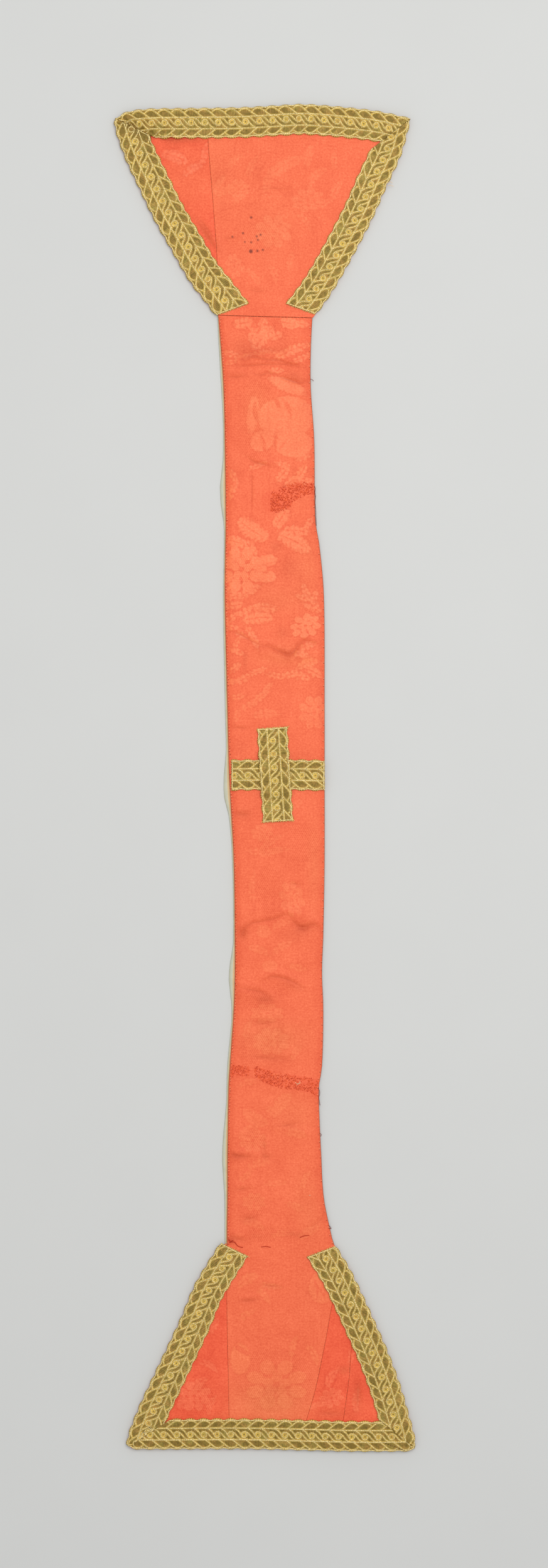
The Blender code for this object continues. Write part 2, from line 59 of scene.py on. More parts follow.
# Heights of the cloth, from the surface up
LINING_TOP = 1.0
SILK_UNDER = 1.3
SILK_TOP = 2.7
GALLOON_UNDER = 3.0
GALLOON_TOP = 3.85

# The band of silk runs between these heights, and the flared ends lie beyond them
BAND_TOP = 323.3
BAND_FOOT = -327.6
# The outer edges of the galloon at the two ends
TOP_EDGE = 471.0
BOTTOM_EDGE = -471.5
# The cross: its middle, half the arm's width, and half the upright's width and length
UPRIGHT_X = 6.5
ARM_Y = 2.1
ARM_HALF = 11.3
UPRIGHT_HALF = (13.0, 33.5)

# CAD points further apart in height than this are in different rows, and a narrower row than this is the tip
# of a slanted end
ROW_APART = 0.1
NARROWEST_ROW = 0.5
# The silk comes this much closer together at its seams than its solids do
SEAM_REACH = 0.11
# Places of the fine rows near a panel's edges, which round them off
EDGE_ROWS = (0.0, 0.1, 0.28, 0.6, 1.0, 1.6)
# Distances given where nothing is near: to a figure, and to a free edge
FAR = 9.0
INLAND = 99.0
# The lobes of a damask leaf lean forward from its spine by this
LOBE_LEAN = np.radians(50.0)

GALLOON_WIDTH = 22.4
# One repeat of the galloon's pattern, in its tables
REPEAT = 9.4
# How far the edge cord lies inside the strip's outermost line at a scallop's middle, as a share of the width
CORD_INSET = 0.014
# Strips of galloon are laid this much too long at both ends, and then cut
OVERRUN = 8.0
# The outermost threads stand out in loops this far apart
LOOP_PITCH = 1.6

Fold = namedtuple("Fold", "x y length turn bow half_width height")
Crease = namedtuple("Crease", "points half_width depth lift")
StripShape = namedtuple(
    "StripShape", "stations phase cuts lies_on start_width end_width", defaults=(GALLOON_WIDTH, GALLOON_WIDTH)
)

BAND_NODES = ("upper_band", "lower_band")
GORES = ("upper_end_gore", "lower_left_gore", "lower_right_gore_inner", "lower_right_gore_outer")
SILK_NODES = ("upper_end_panel", "upper_end_gore", *BAND_NODES, *GORES[1:])

# Soft folds: a ridge, or a trough where the height is below 0
FOLDS = (
    Fold(17.0, 89.0, 46.0, -3.0, -4.0, 4.4, 0.7),
    Fold(8.0, -99.0, 60.0, -4.0, 7.0, 4.6, 0.7),
    Fold(8.0, -143.0, 30.0, -10.0, 3.0, 4.2, 0.55),
    Fold(-5.0, -152.0, 36.0, -14.0, -2.0, 4.4, 0.6),
    Fold(-12.0, -265.0, 26.0, 0.0, 1.0, 4.2, 0.5),
    Fold(2.0, 291.0, 54.0, 5.0, 3.0, 4.6, 0.6),
    Fold(-4.0, 224.0, 24.0, -12.0, 0.0, 4.4, 0.4),
    Fold(-18.0, 203.0, 30.0, 80.0, 2.0, 6.0, 0.5),
    Fold(-16.0, -140.0, 34.0, 84.0, 2.0, 6.0, 0.4),
    Fold(-17.0, -262.0, 34.0, 88.0, 2.0, 6.0, 0.4),
    Fold(30.0, 192.0, 34.0, 20.0, 3.0, 6.0, 0.4),
    Fold(15.0, -215.0, 58.0, -8.0, 0.0, 6.0, 0.4),
    Fold(4.0, 250.0, 40.0, 90.0, 0.0, 13.0, 0.4),
    Fold(8.0, 150.0, 60.0, 84.0, 0.0, 14.0, 0.35),
    Fold(9.0, -60.0, 44.0, 90.0, 0.0, 13.0, 0.4),
    Fold(6.0, -180.0, 40.0, 90.0, 0.0, 12.0, 0.4),
    Fold(8.0, -298.0, 50.0, 70.0, 0.0, 12.0, 0.4),
    Fold(-4.0, 400.0, 70.0, 80.0, 2.0, 18.0, 0.25),
    Fold(14.0, -410.0, 60.0, 84.0, 2.0, 16.0, 0.25),
    Fold(67.0, -428.0, 32.0, 88.0, 1.0, 3.0, -0.35),
    Fold(24.0, 302.0, 22.0, 24.0, 2.0, 3.2, 0.35),
    Fold(-14.0, 283.0, 20.0, -6.0, 0.0, 2.4, 0.3),
    Fold(12.0, 263.0, 24.0, -14.0, 0.0, 3.0, 0.25),
    Fold(26.0, 214.0, 22.0, 52.0, 0.0, 2.6, 0.3),
    Fold(-22.0, 168.0, 18.0, -20.0, 0.0, 3.0, 0.22),
    Fold(25.0, 118.0, 24.0, 14.0, 0.0, 3.4, 0.25),
    Fold(-12.0, 58.0, 22.0, 30.0, 0.0, 3.6, 0.22),
    Fold(28.0, -62.0, 30.0, 76.0, 0.0, 4.0, 0.3),
    Fold(-10.0, -78.0, 26.0, 82.0, 0.0, 3.0, 0.25),
    Fold(26.0, -128.0, 22.0, 12.0, 0.0, 3.6, 0.3),
    Fold(24.0, -170.0, 26.0, 8.0, 0.0, 4.0, 0.25),
    Fold(-8.0, -200.0, 28.0, 4.0, 0.0, 3.2, 0.22),
    Fold(20.0, -247.0, 30.0, -12.0, 0.0, 3.0, 0.28),
    Fold(-14.0, -285.0, 22.0, 12.0, 0.0, 3.0, 0.22),
    Fold(22.0, 412.0, 60.0, 26.0, 3.0, 6.0, 0.22),
    Fold(-26.0, 404.0, 34.0, 32.0, 3.0, 4.0, 0.2),
    Fold(8.0, 345.0, 46.0, -4.0, 0.0, 4.0, 0.22),
    Fold(-60.0, 432.0, 24.0, -24.0, 2.0, 5.0, 0.3),
    Fold(34.0, -358.0, 30.0, 70.0, 4.0, 4.0, 0.22),
    Fold(-8.0, -352.0, 34.0, 14.0, 0.0, 4.0, 0.22),
    Fold(-48.0, -428.0, 40.0, 40.0, 2.0, 5.0, 0.22),
    Fold(6.0, -450.0, 60.0, 2.0, 0.0, 4.0, 0.18),
)

# Sharp creases along a line: the cloth dips on the line and stands up beside it
CREASES = (
    Crease(((-6, 92), (2, 92), (11, 88), (17, 86), (23, 93), (28, 96), (38, 92)), 1.25, 0.55, 0.3),
    Crease(((8, 90), (15, 87), (19, 88)), 2, 0.3, 0.09),
    Crease(((-26, 102), (-19, 101), (-10, 96), (-4, 93)), 1, 0.26, 0.13),
    Crease(((-14, 226), (-9, 222), (-3, 220), (6, 218)), 1.12, 0.44, 0.21),
    Crease(
        ((-16.7, -111), (-14.5, -105.4), (-10, -102), (-5.7, -101), (5.3, -98.8), (13, -96), (17.4, -97)),
        1.12, 0.37, 0.26,
    ),
    Crease(((-18, -113), (-15.6, -108), (-13.5, -104)), 1.88, 0.59, 0.17),
    Crease(
        ((17.4, -97), (19.6, -101), (25.1, -104.9), (30.6, -103.2), (35, -103.4), (40.4, -108.7)),
        1.25, 0.44, 0.26,
    ),
    Crease(((21, -103), (26, -105.2), (31, -103.4)), 2.5, 0.52, 0.17),
    Crease(
        ((-0.2, -141.7), (3.1, -139.5), (8.6, -139.4), (15.2, -141.2), (20.7, -143.6), (26.2, -147.6)),
        1.25, 0.52, 0.3,
    ),
    Crease(((-21, -146.6), (-11.2, -148.3), (-3.5, -150), (2, -153.8)), 1.38, 0.41, 0.21),
    Crease(((-7, -153.5), (0, -155.2), (6, -154.6)), 3, 0.3, 0.13),
    Crease(((-10, -171), (-0.2, -172), (10.8, -169.8)), 2.25, 0.26, 0.13),
    Crease(((-10, -194.5), (0.9, -196.2), (16.3, -196.2)), 2.25, 0.22, 0.13),
    Crease(((16, -73.8), (21, -74.2), (26, -75.4)), 1, 0.22, 0.1),
    Crease(((-25.6, -263), (-19, -265), (-9, -265)), 1.5, 0.52, 0.26),
    Crease(((-3, -263.5), (0, -265.2), (4, -265.4)), 2, 0.26, 0.09),
    Crease(((-1, -255), (-0.6, -262)), 1.25, 0.18, 0.09),
    Crease(((10, -244), (15, -243.4), (21, -241.8)), 1.62, 0.26, 0.13),
    Crease(((-19, -288.4), (-14, -287)), 1.38, 0.26, 0.1),
    Crease(((-17, -310), (-8, -307.6)), 1.62, 0.26, 0.13),
    Crease(
        ((-22.2, 292.3), (-14.5, 292.3), (-9, 294.8), (0, 293.2), (9.7, 292.4), (18.5, 289.6), (29.5, 288.6)),
        1, 0.41, 0.26,
    ),
    Crease(((-26.6, 288), (-14.5, 288.6), (-0.2, 289.6), (16, 289.4), (30, 286)), 0.88, 0.33, 0.21),
    Crease(((-9.6, 283.6), (-4, 282.2), (1.4, 283.6), (7.5, 281.9)), 1, 0.37, 0.21),
    Crease(((7.5, 281.9), (14.5, 279.4), (23, 277), (30.4, 278)), 1.38, 0.52, 0.26),
    Crease(((-28, 281.4), (-20, 281), (-12, 283)), 1.12, 0.3, 0.17),
    Crease(((-24.4, 34.9), (-18, 35.2), (-12.6, 34.4)), 1.12, 0.37, 0.17),
    Crease(((-22, -24.6), (-15.6, -25.7), (-11, -25)), 1.5, 0.33, 0.17),
    Crease(((-10, 215), (-9.4, 202), (-10, 189)), 1, 0.22, 0.1),
    Crease(((-10, 412), (4, 413), (18, 413)), 1.25, 0.15, 0.1),
    Crease(((-32, 379), (-24, 378), (-17, 379)), 1.25, 0.22, 0.13),
    Crease(((-14, 343), (-6, 341), (2, 342)), 1.25, 0.22, 0.13),
    Crease(((-18, -366), (-12, -366.4), (-6, -365)), 1.12, 0.3, 0.13),
    Crease(((-3, -355), (4, -356), (10, -356)), 1.12, 0.22, 0.1),
    Crease(((-49, 391), (-44, 383), (-38.4, 375.6), (-34.6, 370.6)), 1.75, 0.44, 0.26),
    Crease(((-46, 392), (-41, 385), (-37, 380)), 1.25, 0.22, 0.26),
    Crease(((30, -316), (38, -310), (43, -300)), 1.5, 0.22, 0.13),
    Crease(((-26.4, -321), (-20, -322.6), (-14, -324)), 1.5, 0.3, 0.17),
    Crease(((65, -420), (64.6, -431), (64, -444)), 2.5, 0.33, 0.17),
    Crease(((37, -444.4), (46, -445.4), (54, -445)), 2.75, 0.3, 0.17),
)

# Damask figures, woven as satin. Leaves: x, y, length, width, turn of the tip in degrees and bow of the spine
SATIN_LEAVES = (
    (-15.6, 318.8, 13, 8, 10, 0), (-3.5, 317.5, 8, 3.4, 80, 0), (-0.4, 318.6, 8, 3.2, 86, 0),
    (16.3, 318.6, 13, 8, -12, 0), (25, 318, 9, 5, 0, 0), (-3.5, 308.7, 18, 9, 237, 1),
    (-9, 311, 10, 6, 255, 0), (1, 311.5, 12, 7, 230, 0), (7, 309.6, 9, 5, 205, 0),
    (19, 298.9, 26, 6.4, 22, 1), (25.4, 294.4, 13, 4, 24, 0), (-24.4, 297, 11, 4, 165, 0),
    (-24, 291.5, 8, 3, 200, 0), (7.5, 285.6, 9, 4, 0, 0), (-4, 297, 22, 2.6, 7, 1),
    (11.9, 212.6, 12, 5.4, 50, 0), (18.5, 208, 12, 5, 30, 0), (25, 213.6, 13, 5.4, 62, 0),
    (13, 219.4, 10, 4, -20, 0), (28.6, 208, 8, 3.6, 20, 0), (-5, 219, 12, 3, 24, 0),
    (-23, 212, 10, 4, 120, 0), (-22, 202, 12, 4.4, 70, 1), (27, 224.6, 9, 3.6, 20, 0),
    (10.8, 181.8, 15, 9, 58, 0), (-8.5, 174, 24, 12, 147, 1), (-20, 165.2, 13, 8, 165, 0),
    (-10.4, 159.7, 12, 8, 120, 0), (19.6, 165, 25, 11, -27, 1), (21, 172.6, 17, 6, -6, 1),
    (30, 178, 9, 4, 60, 0), (-22, 156, 12, 6, 100, 0), (-23.3, 134.4, 11, 6, 60, 0),
    (-11.4, 130, 17, 6, 32, 1), (-22, 127.6, 10, 4.4, 15, 0), (29.4, 130, 14, 4.4, 118, 1),
    (25.8, 126.4, 9, 4, 160, 0), (34, 126, 10, 4, 75, 0), (36, 119.6, 9, 3.4, 110, 0),
    (30.6, 119.6, 9, 3.4, 150, 0), (-22.2, 121, 13, 5, 8, 0), (-3.5, 119, 18, 5, 5, 1),
    (-5.4, 111.3, 20, 8, 5, 1), (-14.4, 116.6, 11, 4.4, 30, 0), (4.4, 117.6, 10, 3.6, 25, 0),
    (-23.3, 112.4, 10, 4.4, 42, 0), (-24, 105.6, 9, 4, -10, 0), (-9.4, 98, 17, 4.6, -62, 1),
    (-20, 95.4, 8, 3.4, 60, 0), (-17, 100.4, 9, 3.4, -30, 0), (29.5, 79.4, 15, 6, 18, 1),
    (18.5, 71.8, 16, 4.4, 8, 1), (34, 74, 11, 6, -28, 0), (26, 70.6, 10, 4, -10, 0),
    (-21, 77.4, 9, 4.4, 42, 0), (-15.6, 69.5, 11, 5, 30, 0), (-24, 67.4, 8, 4, 12, 0),
    (-20, 88.6, 9, 4, -20, 0), (6, 72, 10, 3.6, 170, 0), (-6, 74.6, 12, 4, 20, 0), (30, 93, 12, 5, 20, 0),
    (25, 86.6, 11, 4.4, -12, 0), (1.5, 63.5, 7, 3.4, 45, 0), (-3.5, 55.8, 13, 5, 40, 1),
    (-12, 51, 10, 4, 30, 0), (-0.2, 44.2, 17, 6, 5, 1), (-20, 44, 9, 4, 70, 0), (-19.6, 57, 8, 4, 10, 0),
    (4.2, -45.5, 18, 4, 35, 1), (6.4, -52, 19, 4.6, 12, 1), (-7, -51.5, 10, 4, 0, 0),
    (-8.5, -76.8, 17, 3.6, 88, 1), (10.8, -103, 13, 4.4, 20, 1), (-5, -121, 14, 5, -20, 1),
    (12, -118.6, 14, 5, 30, 1), (23, -133, 12, 4.4, -10, 0), (-6.8, -238, 18, 9, 150, 1),
    (11.9, -228.6, 17, 9, 52, 1), (4.5, -234, 9, 5, -40, 0), (21.4, -249.5, 13, 7, -8, 1),
    (-12, -247, 14, 6, 30, 0), (-4.6, -271, 17, 4.6, 12, 1), (-14, -279, 10, 4, 40, 0),
    (20.7, -300, 12, 5, -20, 0), (-8, -313, 15, 5.4, -20, 1), (-12.3, -352, 15, 7, 30, 1),
    (4, -356, 14, 4, -8, 0), (-1.3, -363, 13, 4, -50, 1), (-12.3, -376, 11, 4, 30, 1),
    # The first leaf of this row lies on a fold of the upper gore, its lighter satin laid there as a painted
    # highlight on the fold
    (-64, 434.7, 18, 8, -20, 1), (-50.8, 426, 15, 5, 30, 1), (-43, 437, 14, 4, 80, 0),
    (-32, 416, 14, 4, 60, 1), (-21, 432.5, 13, 4, 45, 1), (-9, 429, 15, 4, 62, 1),
    (13, 427, 32, 8.5, 30, 2), (3, 418, 15, 6, 60, 1), (30.6, 435.8, 15, 6.4, 80, 1),
    (36, 420.4, 18, 6.4, 45, 2), (48, 432.5, 12, 4.4, 90, 0), (-27.7, 410.5, 13, 5, 20, 1),
    (-16.7, 407, 12, 4.4, 42, 1), (27.3, 389.6, 13, 4, -50, 1), (50, 412, 14, 5, 62, 1),
    (-9, 351, 15, 4, -50, 1), (5.3, 353.3, 12, 4.4, -70, 1), (18, 362, 13, 4, 80, 1),
    (40, 402, 12, 4, 30, 0), (46, -421, 13, 5.4, 60, 1), (-47, -425, 15, 5, 36, 1),
    (-40, -412, 12, 4, -30, 1), (-56, -440, 13, 5, 10, 1), (-38, -440, 12, 4, 70, 1),
    (64, -436, 16, 5, 84, 1), (60, -405, 12, 4, 80, 0), (36, -440, 12, 4, 20, 1),
    (33, -404, 14, 4.4, -62, 1), (20, -398, 14, 4, 74, 1), (-36, -384, 12, 4.4, 60, 0),
    (8, -209, 15, 4.4, -8, 0), (-12, -214, 13, 4, 14, 1), (22, -192, 13, 4, 60, 1),
    (-12, -176, 12, 4, 70, 1), (28, -282, 12, 4, 64, 1), (8, -284, 14, 4, 6, 0), (12, -320, 16, 4, 10, 1),
    (30, -318, 16, 6, 30, 0), (20, -20, 14, 5, 40, 0),
)
# Blooms, each of petals round a middle: x, y, length, width and turn in degrees
BLOOMS = (
    (-17, 146, 30, 34, 0), (28, 106.4, 22, 17, 20), (34, 46, 22, 24, 0), (-2.4, -38.3, 16, 13, 10),
    (1, -164.8, 24, 14, 0), (4.2, -184.6, 26, 20, 0), (-9, -254, 20, 17, 0), (-8, -296.8, 17, 13, 0),
    (-19, 412.7, 16, 14, 0), (29.5, 405, 24, 17, 10), (5.3, 383, 26, 24, 0), (-22, 358.8, 12, 18, 10),
    (-50, -433, 24, 22, 0), (46, -434.3, 18, 14, 20), (7.5, -425, 44, 36, 0), (18.5, -84.5, 18, 26, 12),
)
# Plain rounded satin forms: x, y, length, width and turn in degrees
SATIN_ROUNDS = (
    (14.5, 253, 40, 29, 4), (-9, 254.6, 26, 8, 84), (-2.5, 236, 17, 14, 24), (19, 234.6, 28, 20, -8),
    (15.2, 275, 27, 9, -22), (1.5, 152.5, 13.5, 8, 0), (0.9, 141, 12.5, 8, 0), (-2.4, 146.5, 6, 15, 0),
    (-1.3, -107.6, 10, 9, 0), (3.1, -131.8, 11, 8, 0), (39.4, -357, 18, 22, 0), (-17.8, -407, 14, 22, 0),
)
# Parts of the figures woven as the ground: veins, slits between petals and hollows, in the leaves' columns
GROUND_CUTS = (
    (-9.4, 317.6, 9, 1.4, 62, 0), (-6, 318, 8, 1.1, 84, 0), (2.4, 318, 9, 1.2, 92, 0),
    (10.6, 318, 8, 1.3, 100, 0), (-6.3, 256.5, 14, 3.2, 98, 1), (7.5, 262.3, 9, 2.8, -70, 1),
    (15.2, 258.6, 13, 3, -68, 1), (-2.2, 235, 12, 1.6, -78, 1), (7.7, 234, 17, 2.2, 88, 1),
    (12, 232, 10, 1.2, 60, 1), (5.5, 146.8, 9, 1.8, 12, 0), (1, 150, 9, 1, 12, 0),
    (0.4, 143.6, 9, 1, -10, 0), (25, 419, 14, 11, 20, 0), (-3.5, 426, 13, 9, 90, 0),
    (32.8, -356, 18, 1.6, -72, 3), (37.2, -362, 16, 1.6, -55, 3), (43, -352, 15, 1.6, 80, 3),
    (27.4, -355, 20, 1.5, 82, 4), (31.7, -373.8, 14, 1.6, -40, 2), (33.9, -380, 13, 1.2, -24, 1),
    (34.5, -383, 13, 1.2, -20, 1), (34.9, -386, 12, 1.2, -14, 1), (-16, -398, 22, 3.6, -36, -3),
    (-7, -409, 14, 3.4, -74, -2), (2, -184, 9, 1.3, 84, 0), (8, -186, 9, 1.3, 88, 0),
)
# Fine curved lines of the ground within the faint figures of the ends: x, y, length, turn and bow
FINE_LINES = (
    (1, 406, 26, 4, 9), (1, 403, 20, 4, 7), (1, 409, 32, 4, 11), (-24, 389, 24, 4, 6), (-24, 386, 19, 4, 5),
    (-24, 392, 30, 4, 7), (-29, 419, 13, 60, 2), (-26, 417, 13, 66, 2), (-32, 420, 13, 52, 2),
    (-35, 421, 12, 46, 2), (-6, 424, 14, 70, 2), (-9, 425, 14, 64, 2), (-3, 423, 13, 76, 2),
    (-12, 426, 14, 56, 2), (14, 380, 20, -58, 4), (17.5, 378, 20, -60, 4), (-56, 441, 14, 20, -3),
    (-57, 437, 18, 24, -4), (-60, 446, 12, -10, 2), (22, 398, 16, -20, 3), (34, 391, 16, -48, 2),
    (-14, 398, 14, 40, 2), (0, 436, 16, 10, 2), (30, 446, 18, -8, 2), (-18, 446, 14, 60, 2),
    (3.7, -430, 9, 90, 0), (0.5, -430.8, 9, 112, 0), (7, -430.8, 9, 68, 0), (-2.2, -433, 8, 134, 0),
    (9.6, -433, 8, 46, 0), (47, -421, 12, 60, 2), (44, -419, 12, 64, 2), (50, -424, 12, 56, 2),
    (46, -428, 14, 20, -4), (-46, -425, 15, 36, 2), (-49, -421, 14, 40, 2), (-18, -384, 16, -30, 2),
    (-20, -388, 18, -34, 2), (8, -392, 14, 20, 2), (-8, -346, 12, 10, 2), (10, -343, 14, -12, 2),
    (-34, -400, 12, 50, 1), (-62, -438, 14, 36, 2), (58, -428, 14, 80, 2), (22, -412, 12, 60, 2),
    (-9.5, 200, 22, 90, 0), (2.6, 203, 24, 88, 0),
)
# Rounds filled with small dots: x, y, length, width and turn in degrees
DIAPER_ROUNDS = (
    (7.5, 317.6, 8, 9, 0), (-8, 251, 40, 56, 0), (-17, 146, 17, 21, 0), (17.4, -46, 46, 30, 0),
    (4.2, -81, 22, 42, 6), (-8, -156, 30, 16, -6), (11.9, -148, 14, 12, 0), (4, -184, 26, 20, 0),
    (-12, -190, 16, 26, 0), (-9, -254, 18, 15, 0), (-8, 378, 40, 22, 0), (6, -422, 56, 46, 0),
    (-17.8, -407, 14, 22, 0), (46, -434, 18, 12, 20), (-50, -435, 30, 26, 0), (2, -320, 40, 12, 0),
    (-10, -300, 20, 20, 0),
)
# Broad uneven tones, where the colour has faded or turned brown, with painted shade along creases and folds
# and beside the lifted edge of the galloon at the upper left corner: x, y, length, width, turn and darkness
BROWNING_AND_SHADE = (
    (-15.6, 301, 18, 16, 0, 1.0), (2, 299.6, 26, 6, 4, 0.8), (12, 306, 13, 11, 0, 0.5),
    (20.2, 281.6, 12, 7, -24, 1.0), (-20, 283, 16, 8, 0, 0.35), (16.3, 146.5, 18, 18, 0, 0.7),
    (7, 162, 8, 7, 0, 0.8), (12, 101.6, 9, 9, 0, 0.7), (-14, 82.7, 15, 3, 85, 0.7),
    (2, 130, 22, 18, 0, 0.3), (14, 88, 14, 5, 0, 0.6), (-22, 218, 14, 30, 0, 0.3),
    (-17, -25, 14, 7, 0, 0.8), (28, 16, 20, 8, 0, 0.3), (-18, 20, 12, 12, 0, 0.3),
    (18.5, -110, 20, 12, 0, 0.4), (27, -105.6, 11, 4, 0, 0.8), (-15.5, -108, 6, 9, 20, 0.8),
    (20, -146, 14, 5, -20, 0.6), (-0.5, -155, 13, 6, 0, 0.8), (0, -171, 24, 4, 0, 0.6),
    (2, -196, 28, 4, -4, 0.6), (-20, -265, 14, 4, 0, 0.9), (0, -265, 8, 4, 0, 0.6),
    (-1, -258, 4, 13, 0, 0.4), (-16, -288, 12, 3, 8, 0.5), (-12, -309, 14, 5, 8, 0.4),
    (16, -243, 13, 3, 8, 0.5), (-20, -323, 14, 4, -10, 0.8), (55, -415, 8, 6, 0, 1.0),
    (64.6, -433, 22, 6, 87, 0.5), (46, -446, 26, 6, 0, 0.8), (-30, -446, 16, 5, 0, 0.5),
    (-47, -428, 14, 8, 0, 0.4), (-12, -366, 14, 3, 4, 0.7), (4, -356, 14, 4, -6, 0.6),
    (-41, 381, 26, 6, -52, 1.0), (-64, 446, 12, 8, 0, 0.5), (-6, 425, 20, 8, 60, 0.3),
    (-34, 420, 12, 10, 60, 0.3), (-58, 447.4, 38, 4, -2, 1.1), (-24, -325, 9, 5, -30, 1.0),
    (22, -320, 12, 4, 0, 0.7), (-6, -321, 10, 3, 0, 0.5), (4, -428, 14, 7, 0, 0.6),
    (30, -360, 12, 30, 10, 0.3),
)

# Places where the silk has faded to a duller, yellower tone: x, y, length, width, turn and strength
FADED = (
    (4, -440, 54, 30, 0, 1.0), (-6, 258, 20, 40, 0, 0.5), (20, 250, 40, 50, 0, 0.4),
    (24, 205, 20, 30, 0, 0.3), (30, 150, 20, 50, 0, 0.4), (10, 125, 40, 20, 0, 0.4),
    (6, -182, 44, 22, 0, 0.7), (20, -235, 34, 30, 0, 0.4), (14, 84, 40, 16, 0, 0.5),
    (4, 385, 60, 40, 60, 0.3), (30, -300, 20, 50, 10, 0.4), (34, -60, 10, 60, 0, 0.4),
    (-56, 418, 60, 70, -60, 0.5),
)

# Old spots of wax or rust: x, y and radius
STAINS = (
    (-10.1, 392.7, 0.8), (-15.8, 381.7, 0.75), (-6.2, 379.5, 0.7), (-3.5, 380.6, 0.75), (-5.4, 377, 0.7),
    (-10.1, 375.3, 0.7), (-14.5, 375.6, 0.6), (-10.3, 369, 1.3), (-5.7, 369.3, 0.8), (-1.9, 370, 0.7),
    (-23.2, 379.2, 0.7),
)

# Darned places: the middle line from left to right, x and y, with half the width of the darn there
UPPER_DARN = (
    (4.6, 193.6, 7.8), (10, 194.4, 8.0), (15, 198.4, 6.8), (22, 201.4, 5.6), (30, 202.8, 4.2),
    (34.6, 202.2, 3.4),
)
LOWER_DARN = (
    (-25, -205.6, 4.4), (-18, -205.2, 4.0), (-12, -205.6, 3.0), (-10.8, -205.6, 0.3), (-8, -205.4, 0.3),
    (-6.8, -205.4, 3.4), (2.2, -209.8, 5.0), (11.9, -212.4, 5.2), (23.3, -213.8, 5.2), (32, -215.6, 5.0),
    (37.6, -218, 5.8),
)


def linear(hex_colour):
    """The linear RGBA of an sRGB hex colour."""
    channels = [int(hex_colour[i : i + 2], 16) / 255 for i in (1, 3, 5)]
    return tuple(c / 12.92 if c <= 0.04045 else ((c + 0.055) / 1.055) ** 2.4 for c in channels) + (1.0,)


def colour_property(name, hex_colour, description):
    return FloatVectorProperty(
        name=name, description=description, subtype="COLOR", size=4, min=0.0, max=1.0,
        default=linear(hex_colour),
    )


def length_property(name, millimetres, description):
    return FloatProperty(
        name=name, description=description, unit="LENGTH", min=0.0, default=millimetres * MM, precision=5
    )


class SilkLook(bpy.types.PropertyGroup):
    """The silk damask and the lining"""

    satin: colour_property("Satin", "#F27848", "Colour of the woven figures")
    ground: colour_property("Ground", "#EC6840", "Colour of the plain ribbed ground")
    gore: colour_property("Gores", "#EB5A36", "Colour of the plainer, redder silk of the gores")
    gore_satin: colour_property("Gore satin", "#F47048", "Colour of the woven figures in the gores")
    darn: colour_property("Darned silk", "#E04826", "Colour of the silk under the darning")
    faded: colour_property("Faded silk", "#E67E4A", "Colour of the silk where it has faded and yellowed")
    # This colour is both the silk's real browning and painted shade in the creases and along folds
    browned_and_shade: colour_property("Browned silk", "#D2562E", "Colour of the silk where it has browned")
    # Painted shade: a thin dark line along the silk's free edges, where the turned edge rolls under
    edge_shade_line: colour_property("Silk edge", "#9A5A44", "Colour of the soiled fold at the silk's free edges")
    stain: colour_property("Spots", "#7A2C1C", "Colour of the old spots")
    lining: colour_property("Lining", "#C1BFA8", "Colour of the cream lining")
    lip: colour_property("Lining edge", "#CFAE80", "Colour of the turned edge between lining and silk")
    grid: length_property("Grid", 0.7, "Distance between the points of the silk's surface")
    edge_roll: length_property("Edge roll", 1.0, "Radius of the turned-in free edges")
    seam_roll: length_property("Seam roll", 0.28, "Radius of the silk's edges where it is sewn")


class GalloonLook(bpy.types.PropertyGroup):
    """The gold galloon"""

    ground: colour_property("Ground", "#DEBC5A", "Colour of the flat-woven metal thread")
    shadow: colour_property("Hollows", "#5A440A", "Colour of the dark leaf-shaped hollows")
    tarnish: colour_property("Tarnish", "#BE924C", "Colour of the tarnished threads")
    verdigris: colour_property("Verdigris", "#A8984A", "Colour of the greenish tarnish")
    gimp: colour_property("Gimp", "#F8DE94", "Colour of the raised gimp cords")
    repeat: length_property("Repeat", REPEAT, "Length of one repeat of the pattern")
    cord: length_property("Cord", 0.39, "Radius of the gimp cords")


class StitchLook(bpy.types.PropertyGroup):
    """The visible sewing"""

    whip: colour_property("Whip stitches", "#EE9872", "Colour of the whip stitches")
    darn: colour_property("Darning thread", "#BC3A20", "Colour of the darning")
    pitch: length_property("Pitch", 2.1, "Distance between whip stitches")
    seed: IntProperty(name="Seed", description="Start of the hand-sewn unevenness", default=11, min=0)


class StageLook(bpy.types.PropertyGroup):
    """The floor, the light and the camera"""

    floor: colour_property("Floor", "#CBCBC8", "Colour of the pale floor")
    world: FloatProperty(name="Ambient light", description="Strength of the even light", default=0.7, min=0.0)
    lamp: FloatProperty(
        name="Lamp", description="Power of the soft lamp", default=19.5, min=0.0, subtype="POWER"
    )


def add_node(tree, kind, out=0, inputs=None, **settings):
    """Adds a shader node with its settings, gives its inputs a value or a link, and returns one output."""
    node = tree.nodes.new("ShaderNode" + kind)
    for key, value in settings.items():
        setattr(node, key, value)
    for key, value in (inputs or {}).items():
        if isinstance(value, bpy.types.NodeSocket):
            tree.links.new(value, node.inputs[key])
        else:
            node.inputs[key].default_value = value
    return node.outputs[out]


def new_material(name):
    """An empty node material, its tree and its Principled shader."""
    material = bpy.data.materials.new(name)
    material.use_nodes = True
    tree = material.node_tree
    return material, tree, tree.nodes["Principled BSDF"]


def smooth_step(low, high, value):
    t = np.clip((value - low) / (high - low), 0.0, 1.0)
    return t * t * (3 - 2 * t)


